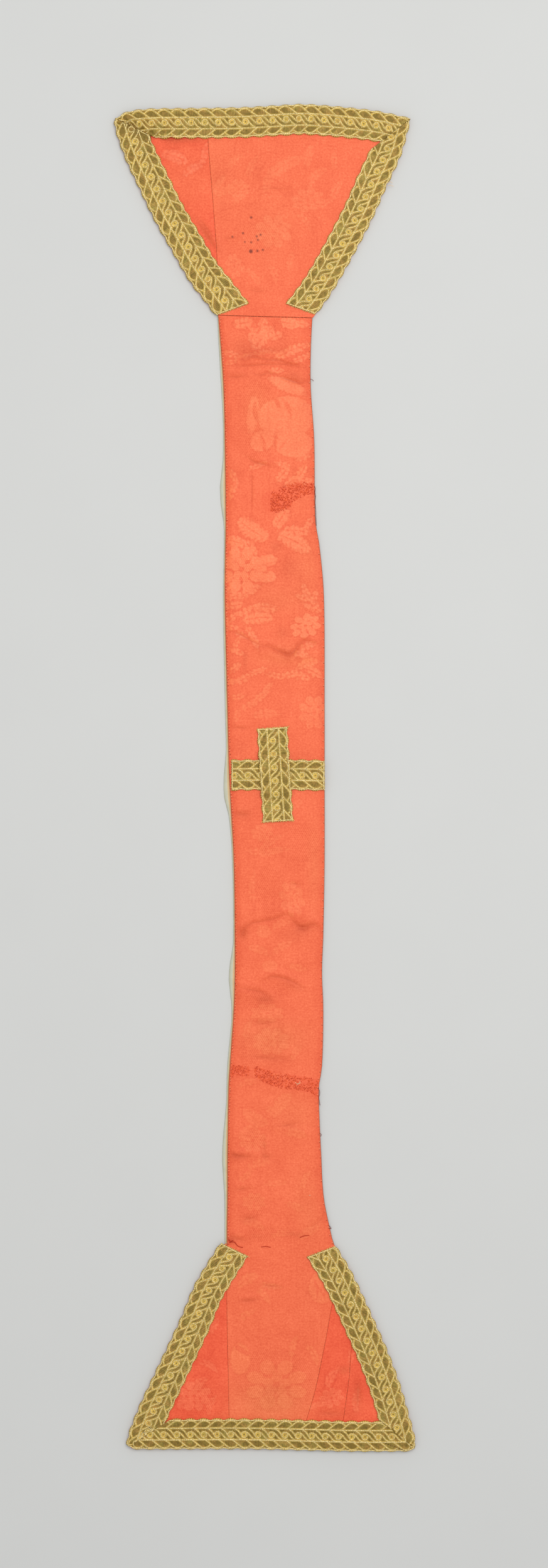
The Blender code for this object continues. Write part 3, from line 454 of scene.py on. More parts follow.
def smooth_curve(keys, values, at):
    """Values on a smooth curve through rising keys, running on straight past both ends."""
    keys = np.asarray(keys, float)
    values = np.asarray(values, float)
    at = np.asarray(at, float)
    low = np.maximum(np.arange(len(keys)) - 1, 0)
    high = np.minimum(np.arange(len(keys)) + 1, len(keys) - 1)
    slope = (values[high] - values[low]) / (keys[high] - keys[low])
    i = np.clip(np.searchsorted(keys, at, side="right") - 1, 0, len(keys) - 2)
    span = keys[i + 1] - keys[i]
    t = np.clip((at - keys[i]) / span, 0.0, 1.0)
    rise = values[i + 1] - values[i]
    bend = (1 - t) * (span * slope[i] - rise) + t * (rise - span * slope[i + 1])
    inside = values[i] + rise * t + t * (1 - t) * bend
    return inside + slope[0] * np.minimum(at - keys[0], 0) + slope[-1] * np.maximum(at - keys[-1], 0)


def smooth_line(points, at):
    """Places on a smooth line through points, counted in points from the first."""
    points = np.asarray(points, float)
    return np.column_stack([smooth_curve(np.arange(len(points)), column, at) for column in points.T])


def ways_along(points):
    """The way along a line to each of its points."""
    return np.concatenate([[0.0], np.cumsum(np.hypot(*np.diff(points, axis=0).T))])


def finish_piece(piece, material):
    """Gives a piece its material, smooth shading and body."""
    piece.data.materials.clear()
    piece.data.materials.append(material)
    piece.data.shade_smooth()
    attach(piece, "root")
    return piece


def add_mesh(name, points, faces, material, uvs=None, attributes=None):
    """A smooth-shaded piece from points in millimetres, with point attributes and point UVs."""
    mesh = bpy.data.meshes.new(name)
    mesh.from_pydata((np.asarray(points) * MM).tolist(), [], faces)
    for key, values in (attributes or {}).items():
        mesh.attributes.new(key, "FLOAT", "POINT").data.foreach_set("value", np.asarray(values, np.float32))
    corners = np.empty(len(mesh.loops), np.int32)
    mesh.loops.foreach_get("vertex_index", corners)
    for key, places in (uvs or {}).items():
        layer = mesh.uv_layers.new(name=key)
        layer.data.foreach_set("uv", np.asarray(places, np.float32)[corners].ravel())
    piece = bpy.data.objects.new(name, mesh)
    bpy.context.scene.collection.objects.link(piece)
    return finish_piece(piece, material)


def select_only(piece):
    bpy.ops.object.select_all(action="DESELECT")
    piece.select_set(True)
    bpy.context.view_layer.objects.active = piece


def add_cords(name, lines, radius, material, roundness=0):
    """Round cords of a radius in metres, made one mesh: each line has its points in millimetres and the share
    of the radius that it takes."""
    data = bpy.data.curves.new(name, "CURVE")
    data.dimensions = "3D"
    data.bevel_depth = radius
    data.bevel_resolution = roundness
    data.use_fill_caps = True
    curve = bpy.data.objects.new(name, data)
    bpy.context.scene.collection.objects.link(curve)
    for points, thickness in lines:
        spline = data.splines.new("POLY")
        spline.points.add(len(points) - 1)
        spline.points.foreach_set("co", np.column_stack([points * MM, np.ones(len(points))]).ravel())
        spline.points.foreach_set("radius", np.full(len(points), thickness))
    select_only(curve)
    bpy.ops.object.convert(target="MESH")
    return finish_piece(bpy.context.view_layer.objects.active, material)


def shell_faces(rows, columns):
    """Faces of a closed shell on a grid of upper points, and the grid index of each lower rim point."""

    def at(i, j):
        return i * columns + j

    faces = [
        (at(i, j), at(i + 1, j), at(i + 1, j + 1), at(i, j + 1))
        for i in range(rows - 1)
        for j in range(columns - 1)
    ]
    rim = [at(i, 0) for i in range(rows)]
    rim += [at(rows - 1, j) for j in range(1, columns)]
    rim += [at(i, columns - 1) for i in range(rows - 2, -1, -1)]
    rim += [at(0, j) for j in range(columns - 2, 0, -1)]
    low = {point: rows * columns + k for k, point in enumerate(rim)}
    for here, there in zip(rim, rim[1:] + rim[:1]):
        faces.append((here, low[here], low[there], there))
    # The underside has one strip of a face for each row, whose ends take in every point of the first and last
    for i in range(rows - 1):
        upper = range(columns) if i == 0 else (0, columns - 1)
        lower = range(columns - 1, -1, -1) if i == rows - 2 else (columns - 1, 0)
        faces.append(tuple([low[at(i, j)] for j in upper] + [low[at(i + 1, j)] for j in lower]))
    return faces, rim


def add_shell(name, top, under_z, material, uvs=None, attributes=None):
    """A closed sheet: a grid of upper points with its attributes, a wall round it and an underside."""
    rows, columns = top.shape[:2]
    faces, rim = shell_faces(rows, columns)
    upper = top.reshape(-1, 3)
    lower = upper[rim].copy()
    lower[:, 2] = under_z if np.isscalar(under_z) else under_z.ravel()[rim]
    points = np.concatenate([upper, lower])
    carried = {key: np.concatenate([v.ravel(), v.ravel()[rim]]) for key, v in (attributes or {}).items()}
    maps = {}
    for key, places in (uvs or {}).items():
        flat = places.reshape(-1, 2)
        maps[key] = np.concatenate([flat, flat[rim]])
    return add_mesh(name, points, faces, material, maps, carried)


def node_edges(name, under_z):
    """The left and right edges of a CAD panel, from its top down: two arrays of x and y in millimetres."""
    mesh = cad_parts[name].data
    points = np.empty(len(mesh.vertices) * 3)
    mesh.vertices.foreach_get("co", points)
    points = points.reshape(-1, 3) / MM
    under = points[points[:, 2] < under_z + 0.05, :2]
    under = under[np.argsort(-under[:, 1])]
    rows = np.split(under, np.flatnonzero(np.diff(under[:, 1]) < -ROW_APART) + 1)
    ends = [(row[row[:, 0].argmin()], row[row[:, 0].argmax()]) for row in rows]
    whole = np.array([pair for pair in ends if pair[1][0] - pair[0][0] > NARROWEST_ROW])
    edges = (list(whole[:, 0]), list(whole[:, 1]))
    for point, other in ends:
        # A straight edge has no point in some rows, and a slanted end has its two at different heights
        if other[0] - point[0] <= NARROWEST_ROW:
            gaps = [abs(np.interp(-point[1], -whole[:, k, 1], whole[:, k, 0]) - point[0]) for k in (0, 1)]
            edges[int(np.argmin(gaps))].append(point)
    return tuple(np.array(sorted(edge, key=lambda point: -point[1])) for edge in edges)


def edge_at(edge, y):
    """The x of an edge at each height."""
    return np.interp(-y, -edge[:, 1], edge[:, 0])


def spaced(length, step):
    """Places from 0 to a length, a step apart, with a few finer ones near both ends."""
    fine = np.array(EDGE_ROWS[:-1])
    inner = EDGE_ROWS[-1]
    count = max(2, ceil((length - 2 * inner) / step))
    return np.concatenate([fine, np.linspace(inner, length - inner, count + 1), length - fine[::-1]])


def turned(x, y, at_x, at_y, turn):
    """Places measured along and across a shape."""
    turn = np.radians(turn)
    along = (x - at_x) * np.cos(turn) + (y - at_y) * np.sin(turn)
    across = (y - at_y) * np.cos(turn) - (x - at_x) * np.sin(turn)
    return along, across


def bowed(x, y, at_x, at_y, length, turn, bow):
    """Places measured along and across a shape whose spine is bowed."""
    along, across = turned(x, y, at_x, at_y, turn)
    return along, across - bow * (1 - np.minimum(np.abs(2 * along / length), 1.2) ** 2)


def fold_heights(x, y):
    """The height that the soft folds add."""
    total = np.zeros_like(x)
    for fold in FOLDS:
        along, off = turned(x, y, fold.x, fold.y, fold.turn)
        reach = np.abs(along / (fold.length / 2))
        off = off - fold.bow * (1 - np.minimum(reach, 1.4) ** 2)
        fade = 1 - smooth_step(0.5, 1.4, reach)
        total += fold.height * fade * np.exp(-((off / fold.half_width) ** 2))
    return total


def line_distance(line, x, y):
    """The distance to a line through points, the side that each place is on and the share of the way."""
    line = np.asarray(line, float)[:, :2]
    nearest = np.full(x.shape, 1e9)
    side = np.zeros(x.shape)
    share = np.zeros(x.shape)
    for k, (a, b) in enumerate(zip(line, line[1:])):
        run = b - a
        t = np.clip(((x - a[0]) * run[0] + (y - a[1]) * run[1]) / (run @ run), 0.0, 1.0)
        gap = np.hypot(x - a[0] - run[0] * t, y - a[1] - run[1] * t)
        closer = gap < nearest
        nearest = np.where(closer, gap, nearest)
        side = np.where(closer, np.sign(run[0] * (y - a[1]) - run[1] * (x - a[0])), side)
        share = np.where(closer, (k + t) / (len(line) - 1), share)
    return nearest, side, share


def near_creases(x, y):
    """Each sharp crease, the places near it, their distance and side, and the taper towards its ends."""
    for crease in CREASES:
        count = len(crease.points)
        line = smooth_line(crease.points, np.linspace(0, count - 1, 4 * count))
        xs, ys = line.T
        near = (np.abs(x - xs.mean()) < np.ptp(xs) / 2 + FAR) & (np.abs(y - ys.mean()) < np.ptp(ys) / 2 + FAR)
        if not near.any():
            continue
        gap, side, share = line_distance(line, x[near], y[near])
        yield crease, near, gap, side, np.sin(pi * np.clip(share, 0.04, 0.96)) ** 0.5


def crease_heights(x, y, spread=1.0, with_lips=True):
    """The height that the sharp creases add: a dip along each, and a soft lip on its upper side."""
    total = np.zeros_like(x)
    for crease, near, gap, side, taper in near_creases(x, y):
        total[near] -= taper * crease.depth * np.exp(-((gap / (spread * crease.half_width)) ** 2))
        if with_lips:
            off = gap * side - 2.4 * crease.half_width
            total[near] += taper * crease.lift * np.exp(-((off / (1.6 * crease.half_width)) ** 2))
    return total


def clear_of_galloon(x, y):
    """1 on bare silk and 0 under the galloon, where the silk lies flat."""
    inset = np.full(x.shape, INLAND)
    for shape in (UPPER_LEFT, UPPER_RIGHT, LOWER_LEFT, LOWER_RIGHT):
        edge = np.array(shape.stations)[np.argsort([p[1] for p in shape.stations])]
        beyond = np.abs(smooth_curve(edge[:, 1], edge[:, 0], y) - x)
        inset = np.where((y >= edge[0, 1]) & (y <= edge[-1, 1]), np.minimum(inset, beyond), inset)
    # Measured level, a slanted strip is 4 mm wider than the strips along the ends
    inset = np.minimum(inset, np.minimum(TOP_EDGE - y, y - BOTTOM_EDGE) + 4.0)
    away = smooth_step(27.0, 31.0, inset)
    arm = np.abs(y - ARM_Y) - ARM_HALF
    upright = np.maximum(np.abs(x - UPRIGHT_X) - UPRIGHT_HALF[0], np.abs(y - ARM_Y) - UPRIGHT_HALF[1])
    return away * smooth_step(0.5, 5.0, np.minimum(arm, upright))


def silk_height(x, y, from_edge, from_rim):
    """The height of the silk: its folds, and the fall towards a free edge of the padded band."""
    fall = 0.45 * (1 - smooth_step(0.0, 7.0, from_edge)) ** 2
    keep = smooth_step(0.0, 2.5, from_rim)
    return SILK_TOP + (fold_heights(x, y) + crease_heights(x, y)) * clear_of_galloon(x, y) * keep - fall


def oval_distance(x, y, at_x, at_y, length, width, turn, bow=0.0):
    """The rough distance to the outline of an oval, below 0 inside."""
    along, across = bowed(x, y, at_x, at_y, length, turn, bow)
    return (np.hypot(2 * along / length, 2 * across / width) - 1) * min(length, width) / 2


def line_shape_distance(x, y, at_x, at_y, length, turn, bow):
    """The distance to a fine curved line."""
    return oval_distance(x, y, at_x, at_y, length, 0.5, turn, bow)


def leaf_distance(x, y, at_x, at_y, length, width, turn, bow):
    """The rough distance to a toothed leaf: pairs of lobes lean forward from its spine, which is a vein."""
    along, across = bowed(x, y, at_x, at_y, length, turn, bow)
    core = 0.22 * width
    found = (np.hypot(along / (0.48 * length), across / core) - 1) * core
    pairs = max(3, round(length / 3.2))
    lean_cos, lean_sin = np.cos(LOBE_LEAN), np.sin(LOBE_LEAN)
    for k in range(pairs):
        share = (k + 0.5) / pairs
        reach = width / 2 * np.sin(pi * (0.2 + 0.7 * share))
        radii = (0.64 * reach, 0.43 * length / pairs)
        ahead = along - length * (share - 0.5) - 0.2 * reach
        for side in (-1, 1):
            out = across * side - 0.5 * reach
            lobe = np.hypot(
                (ahead * lean_cos + out * lean_sin) / radii[0], (out * lean_cos - ahead * lean_sin) / radii[1]
            )
            found = np.minimum(found, (lobe - 1) * min(radii))
    vein = np.where(np.abs(along) < 0.42 * length, 0.34 - np.abs(across), -FAR)
    return np.maximum(found, vein)


def bloom_distance(x, y, at_x, at_y, length, width, turn):
    """The rough distance to a bloom: an outer and an inner ring of petals."""
    along, across = turned(x, y, at_x, at_y, turn)
    radius = np.hypot(2 * along / length, 2 * across / width)
    angle = np.arctan2(across / width, along / length)
    found = np.full(x.shape, FAR)
    for petals, middle, reach, spin in ((8, 0.72, 0.29, 0.0), (5, 0.3, 0.2, 0.3)):
        share = (angle / (2 * pi) * petals + spin) % 1.0 - 0.5
        off = share * 2 * pi / petals
        ahead = (radius * np.cos(off) - middle) / reach
        out = radius * np.sin(off) / (0.86 * middle * pi / petals)
        found = np.minimum(found, np.hypot(ahead, out) - 1)
    return found * 0.09 * (length + width)


def nearest_shape(x, y, rows, distance):
    """The distance to the nearest of a table's shapes."""
    found = np.full(x.shape, FAR)
    for row in rows:
        near = (np.abs(x - row[0]) < row[2]) & (np.abs(y - row[1]) < row[2])
        if near.any():
            found[near] = np.minimum(found[near], distance(x[near], y[near], *row))
    return found


def summed_tones(x, y, rows):
    """The sum of a table's soft round patches."""
    total = np.zeros(x.shape)
    for at_x, at_y, length, width, turn, strength in rows:
        along, across = turned(x, y, at_x, at_y, turn)
        total += strength * np.exp(-((2 * along / length) ** 2) - (2 * across / width) ** 2)
    return total


def darn_distance(line, x, y):
    """The distance to the middle line of a darn, and half the darn's width there."""
    gap, _, share = line_distance(line, x, y)
    return gap, np.interp(share * (len(line) - 1), range(len(line)), [p[2] for p in line])


def damask_attributes(x, y):
    """Distances to the figures, the dotted fillings, the spots and darns, and the uneven tones, with the
    creases' depth and distance for their painted shade.
    """
    figure = nearest_shape(x, y, SATIN_LEAVES, leaf_distance)
    figure = np.minimum(figure, nearest_shape(x, y, BLOOMS, bloom_distance))
    plain = nearest_shape(x, y, SATIN_ROUNDS, oval_distance)
    cuts = nearest_shape(x, y, GROUND_CUTS, oval_distance)
    figure = np.maximum(np.minimum(figure, plain), -cuts)
    diaper = np.maximum(nearest_shape(x, y, DIAPER_ROUNDS, oval_distance), -np.maximum(plain, -cuts) - 0.4)
    bare = clear_of_galloon(x, y)
    # The distance to each crease, for a dark line painted along it as shade
    crease_gap = np.full(x.shape, FAR)
    for crease, near, gap, _, taper in near_creases(x, y):
        shallow = 1.1 - min(1.0, 2 * crease.depth)
        crease_gap[near] = np.minimum(crease_gap[near], gap + 0.8 * (1 - taper) + 0.25 * shallow)
    stain = np.full(x.shape, FAR)
    for at_x, at_y, radius in STAINS:
        stain = np.minimum(stain, np.hypot(x - at_x, y - at_y) - radius)
    darn = np.full(x.shape, FAR)
    for line in (UPPER_DARN, LOWER_DARN):
        gap, half = darn_distance(line, x, y)
        darn = np.minimum(darn, gap - half)
    # Figures are bold in the upper band, but for its large pomegranate, and faint elsewhere
    in_band = smooth_step(35.0, 75.0, y) * smooth_step(BAND_TOP + 1.0, BAND_TOP - 2.0, y)
    calm = 1 - 0.72 * np.exp(-(((y - 248.0) / 24.0) ** 4))
    in_gore = ((y < BAND_FOOT) & ((x < -27.0) | (x > 36.0))) | ((y > BAND_TOP) & (x < -38.0))
    clarity = 0.46 + 0.54 * in_band * calm + 0.14 * smooth_step(BAND_FOOT + 4.0, BAND_FOOT - 8.0, y)
    return {
        "figure": figure,
        "fine": nearest_shape(x, y, FINE_LINES, line_shape_distance),
        "diaper": diaper,
        "tone": summed_tones(x, y, BROWNING_AND_SHADE),
        "faded": summed_tones(x, y, FADED),
        # The crease depth and distance carry painted shade: a darker trough and a dark line along each crease
        "dip": np.clip(-crease_heights(x, y, 1.8, with_lips=False) / 0.6, 0.0, 1.2) * bare,
        "crease": crease_gap + 2.0 * (1 - bare),
        "stain": stain,
        "darn": darn,
        "clarity": np.where(in_gore, 0.62 + 0.2 * (y > 0), clarity),
    }


def silk_material(look, is_gore):
    """Silk damask: a satin figure on a weft-ribbed ground. The satin's long floats lie smooth and catch the
    light, the ribs of the ground scatter it, and age gives both soft, uneven tones. Painted shade darkens the
    creases, some folds and the free edges."""
    material, tree, shader = new_material("gore_silk_damask" if is_gore else "coral_silk_damask")
    place = add_node(tree, "TexCoord", "Object")
    axes = add_node(tree, "SeparateXYZ", inputs={0: place}).node.outputs
    carried = {}
    for name in (
        "figure", "fine", "diaper", "tone", "faded", "dip", "crease", "stain", "darn", "clarity", "edge",
    ):
        carried[name] = add_node(tree, "Attribute", "Fac", attribute_name=name)
    # Ribs of 0.45 mm are too fine to show, so they are drawn as streaks about 0.9 mm apart
    ribs_at = add_node(tree, "Mapping", inputs={"Vector": place, "Scale": (150, 1100, 1)})
    ribs = add_node(tree, "TexNoise", inputs={"Vector": ribs_at, "Scale": 1.0, "Detail": 2.0})
    warp_at = add_node(tree, "Mapping", inputs={"Vector": place, "Scale": (700, 30, 1)})
    warp = add_node(tree, "TexNoise", inputs={"Vector": warp_at, "Scale": 1.0, "Detail": 1.0})
    blotch = add_node(
        tree, "TexNoise", inputs={"Vector": place, "Scale": 60.0, "Detail": 3.0, "Roughness": 0.62}
    )
    # The last is the nap of worn silk: broken floats, about a millimetre across where they lie together
    crumple, grain, nap = (
        add_node(tree, "TexNoise", inputs={"Vector": place, "Scale": scale, "Detail": 1.0})
        for scale in (420.0, 1300.0, 760.0)
    )
    # The floats end in steps, which makes an outline ragged by about 1 mm
    ragged = carried["figure"]
    for noise, strength in ((crumple, 2.2), (grain, 1.2)):
        ragged = add_node(tree, "Math", inputs={0: noise, 1: strength, 2: ragged}, operation="MULTIPLY_ADD")
    figure = add_node(
        tree, "MapRange", interpolation_type="SMOOTHSTEP",
        inputs={"Value": ragged, "From Min": 1.3, "From Max": 2.35, "To Min": 1.0, "To Max": 0.0},
    )
    figure = add_node(tree, "Math", inputs={0: figure, 1: carried["clarity"]}, operation="MULTIPLY")
    rim_at = add_node(tree, "Math", inputs={0: ragged, 1: 2.0, 2: 0.7}, operation="COMPARE")
    rim = add_node(tree, "Math", inputs={0: rim_at, 1: carried["clarity"]}, operation="MULTIPLY")
    fine = add_node(
        tree, "MapRange",
        inputs={"Value": carried["fine"], "From Min": 0.1, "From Max": 0.6, "To Min": 1.0, "To Max": 0.0},
    )
    # The small dots are 1.4 mm apart in rows 1.3 mm apart
    dots_x = add_node(tree, "Math", inputs={0: axes[0], 1: 2 * pi / (1.43 * MM)}, operation="MULTIPLY")
    dots_y = add_node(tree, "Math", inputs={0: axes[1], 1: 2 * pi / (2.6 * MM)}, operation="MULTIPLY")
    dots_x = add_node(tree, "Math", inputs={0: dots_x}, operation="COSINE")
    dots_y = add_node(tree, "Math", inputs={0: dots_y}, operation="COSINE")
    dots = add_node(tree, "Math", inputs={0: dots_x, 1: dots_y}, operation="MULTIPLY")
    dots = add_node(tree, "MapRange", inputs={"Value": dots, "From Min": 0.1, "From Max": 0.7})
    dotted = add_node(
        tree, "MapRange",
        inputs={"Value": carried["diaper"], "From Min": -1.2, "From Max": 0.8, "To Min": 1.0, "To Max": 0.0},
    )
    dots = add_node(tree, "Math", inputs={0: dots, 1: dotted}, operation="MULTIPLY")
    low, high = (look.gore, look.gore_satin) if is_gore else (look.ground, look.satin)
    colour = add_node(tree, "Mix", 2, {0: figure, 6: low, 7: high}, data_type="RGBA")
    faded = add_node(tree, "Math", inputs={0: carried["faded"], 1: 0.45}, operation="MULTIPLY")
    colour = add_node(tree, "Mix", 2, {0: faded, 6: colour, 7: look.faded}, data_type="RGBA")
    # Painted shade: the dip browns the troughs of the creases, and the broad tones add real browning together
    # with painted shade of folds and creases
    dip = carried["dip"]
    browned_and_shade = add_node(tree, "Math", inputs={0: carried["tone"], 1: 0.5}, operation="MULTIPLY")
    browned_and_shade = add_node(tree, "Math", inputs={0: dip, 1: 0.34, 2: browned_and_shade}, operation="MULTIPLY_ADD")
    colour = add_node(tree, "Mix", 2, {0: browned_and_shade, 6: colour, 7: look.browned_and_shade}, data_type="RGBA")
    # Each adds to the tone: its middle value leaves the tone as it is. The dip darkens the crease troughs as
    # painted shade
    tone = 1.0
    for value, middle, strength in (
        (ribs, 0.5, 0.16),
        (warp, 0.5, 0.12),
        (grain, 0.5, 0.24),
        (blotch, 0.5, 0.55 if is_gore else 0.3),
        (nap, 0.5, 0.46),
        (dots, 0.0, -0.14),
        (rim, 0.0, -0.06),
        (fine, 0.0, -0.07),
        (dip, 0.0, -0.05),
    ):
        off = add_node(tree, "Math", inputs={0: value, 1: middle}, operation="SUBTRACT")
        tone = add_node(tree, "Math", inputs={0: off, 1: strength, 2: tone}, operation="MULTIPLY_ADD")
    # Painted shade: the tone darkens over the last 7 mm towards a free edge, where the padded band rolls away
    # from the light
    wear_and_edge_shade = add_node(
        tree, "MapRange", interpolation_type="SMOOTHSTEP",
        inputs={"Value": carried["edge"], "From Min": 0.0, "From Max": 7.0, "To Min": 0.86, "To Max": 1.0},
    )
    tone = add_node(tree, "Math", inputs={0: tone, 1: wear_and_edge_shade}, operation="MULTIPLY")
    # Light that bounces between silk threads reddens, so a darker tone is also a deeper one
    depth = add_node(tree, "Math", inputs={0: tone, 1: -0.55, 2: 1.55}, operation="MULTIPLY_ADD")
    colour = add_node(tree, "Gamma", inputs={0: colour, 1: depth})
    colour = add_node(tree, "Mix", 2, {0: 0.5, 6: colour, 7: tone}, data_type="RGBA", blend_type="MULTIPLY")
    # The crease and edge entries paint shade: a dark line along each crease, and a thin dark line at the free
    # edges where the turned edge rolls under. Darns and spots are the silk's own colour.
    for name, low_end, spread, strength, other in (
        ("crease", 0.05, 0.75, 0.95, look.browned_and_shade),
        ("darn", -1.0, 1.0, 0.22, look.darn),
        ("stain", -0.5, 0.5, 0.9, look.stain),
        ("edge", 0.05, 0.65, 0.85, look.edge_shade_line),
    ):
        limits = {"From Min": low_end, "From Max": spread, "To Min": strength, "To Max": 0.0}
        share = add_node(tree, "MapRange", inputs={"Value": carried[name], **limits})
        colour = add_node(tree, "Mix", 2, {0: share, 6: colour, 7: other}, data_type="RGBA")
    tree.links.new(colour, shader.inputs["Base Color"])
    rough = add_node(tree, "MapRange", inputs={"Value": figure, "To Min": 0.62, "To Max": 0.46})
    tree.links.new(rough, shader.inputs["Roughness"])
    height = 0.0
    for value, strength in ((ribs, 0.1), (figure, 0.04), (crumple, 0.1), (nap, 0.06), (dots, -0.05)):
        height = add_node(tree, "Math", inputs={0: value, 1: strength, 2: height}, operation="MULTIPLY_ADD")
    bump = add_node(tree, "Bump", inputs={"Height": height, "Distance": MM, "Strength": 1.0})
    tree.links.new(bump, shader.inputs["Normal"])
    shader.inputs["Sheen Weight"].default_value = 0.12
    shader.inputs["Sheen Roughness"].default_value = 0.4
    shader.inputs["Sheen Tint"].default_value = linear("#FFC8A8")
    shader.inputs["Specular IOR Level"].default_value = 0.35
    return material


def rounded_drop(inset, radius):
    """How far a rounded edge falls, at places inside it."""
    return radius - np.sqrt(np.maximum(radius**2 - (radius - np.minimum(inset, radius)) ** 2, 0.0))


class STOLE_OT_silk(bpy.types.Operator):
    """Lays the silk panels and gores on the lining, with their folds, creases and woven figures"""

    bl_idname = "stole.silk"
    bl_label = "Silk panels"

    def execute(self, context):
        look = context.scene.stole_silk
        coral = silk_material(look, is_gore=False)
        gore = silk_material(look, is_gore=True)
        for name in SILK_NODES:
            self.panel(name, look, gore if name in GORES else coral)
        return {"FINISHED"}

    def panel(self, name, look, material):
        left, right = node_edges(name, SILK_UNDER)
        step = look.grid / MM
        length = left[0, 1] - left[-1, 1]
        down = spaced(length, step) / length
        ends = []
        for edge in (left, right):
            y = edge[0, 1] + (edge[-1, 1] - edge[0, 1]) * down
            ends.append(np.column_stack([edge_at(edge, y), y]))
        width = np.hypot(*(ends[1] - ends[0]).T)[:, None]
        for end, outward in zip(ends, (-1, 1)):
            sewn = (end[:, 1] > BAND_TOP) | (end[:, 1] < BAND_FOOT)
            end[:, 0] += outward * np.where(sewn, SEAM_REACH, 0.0)
        across = spaced(width.max(), step) / width.max()
        flat = ends[0][:, None] + (ends[1] - ends[0])[:, None] * across[None, :, None]
        x, y = flat[..., 0], flat[..., 1]
        side = np.minimum(across[None], 1 - across[None]) * width
        end = np.minimum(down, 1 - down)[:, None] * length
        free = (y < BAND_TOP) & (y > BAND_FOOT) & (name in BAND_NODES)
        roll = np.where(free, look.edge_roll / MM, look.seam_roll / MM)
        drop = np.maximum(rounded_drop(side, roll), rounded_drop(end, look.seam_roll / MM))
        z = silk_height(x, y, np.where(free, side, INLAND), np.minimum(side, end + 0.6)) - drop
        attributes = damask_attributes(x, y)
        attributes["edge"] = np.where(free, side, FAR)
        top = np.stack([x, y, z], axis=-1)
        piece = add_shell(f"silk_{name}", top, SILK_UNDER, material, attributes=attributes)
        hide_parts(name)


def lining_material(look):
    """Plain-woven silk lining: thin and dull, yellowed to a greenish cream, pinker where the coral silk is
    turned over its edge."""
    material, tree, shader = new_material("cream_silk_lining")
    place = add_node(tree, "TexCoord", "Object")
    mottle = add_node(tree, "TexNoise", inputs={"Vector": place, "Scale": 160.0, "Detail": 3.0})
    # The 0.3 mm weave is drawn three times as coarse, so that it shows
    weave = add_node(tree, "TexNoise", inputs={"Vector": place, "Scale": 1100.0, "Detail": 1.0})
    lip = add_node(tree, "Attribute", "Fac", attribute_name="lip")
    colour = add_node(tree, "Mix", 2, {0: lip, 6: look.lining, 7: look.lip}, data_type="RGBA")
    tone = add_node(tree, "Math", inputs={0: mottle, 1: 0.3, 2: 0.85}, operation="MULTIPLY_ADD")
    colour = add_node(tree, "Mix", 2, {0: 1.0, 6: colour, 7: tone}, data_type="RGBA", blend_type="MULTIPLY")
    tree.links.new(colour, shader.inputs["Base Color"])
    bump = add_node(tree, "Bump", inputs={"Height": weave, "Distance": 0.1 * MM})
    tree.links.new(bump, shader.inputs["Normal"])
    shader.inputs["Roughness"].default_value = 0.75
    shader.inputs["Sheen Weight"].default_value = 0.1
    return material


# The lining's columns from its left edge inward: shares of the part that shows, then places beside the silk's
# edge. Where it shows it puffs up and turns into a lip against the silk, at these heights. The rest is flat.
SHOWN_SHARES = np.array([0.0, 0.12, 0.35, 0.6, 0.8])
LIP_PLACES = np.array([-0.3, -0.18, -0.06, 0.3])
LIP_HEIGHTS = np.array([0.35, 0.8, 1.0, 1.05, 1.2, 1.7, 2.15, 1.9, 1.1])
PUFFED = slice(2, 5)
PEACH = slice(4, 9)


class STOLE_OT_lining(bpy.types.Operator):
    """Lays the cream lining, which comes out past the silk along the left edge"""

    bl_idname = "stole.lining"
    bl_label = "Lining"

    def execute(self, context):
        look = context.scene.stole_silk
        left, right = node_edges("lining", 0.0)
        y = np.linspace(left[0, 1], left[-1, 1], 480)
        lefts = edge_at(left, y)
        rights = edge_at(right, y)
        silk_x = lefts + 1.0
        known = np.zeros(y.shape, bool)
        for name in BAND_NODES:
            edge, _ = node_edges(name, SILK_UNDER)
            inside = (y <= edge[0, 1]) & (y >= max(edge[-1, 1], BAND_FOOT))
            silk_x[inside] = edge_at(edge, y[inside])
            known |= inside
        shows = np.maximum(silk_x - lefts, 0.25)
        outer = lefts[:, None] + (shows[:, None] - 0.3) * SHOWN_SHARES
        lip = silk_x[:, None] + LIP_PLACES
        inner = silk_x[:, None] + 3.0 + (rights - silk_x - 3.0)[:, None] * np.linspace(0, 1, 7)
        x = np.concatenate([outer, lip, inner], axis=1)
        z = np.full(x.shape, LINING_TOP)
        z[:, : len(LIP_HEIGHTS)] = np.where(known[:, None], LIP_HEIGHTS, LINING_TOP)
        z[:, PUFFED] += np.where(known, 0.16 * np.minimum(shows, 4.0), 0.0)[:, None]
        z[:, -1] = LINING_TOP - 0.3
        peach = np.zeros(x.shape)
        peach[:, PEACH] = known[:, None]
        top = np.stack([x, np.broadcast_to(y[:, None], x.shape), z], axis=-1)
        material = lining_material(look)
        piece = add_shell("lining_sheet", top, 0.0, material, attributes={"lip": peach})
        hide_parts("lining")
        return {"FINISHED"}


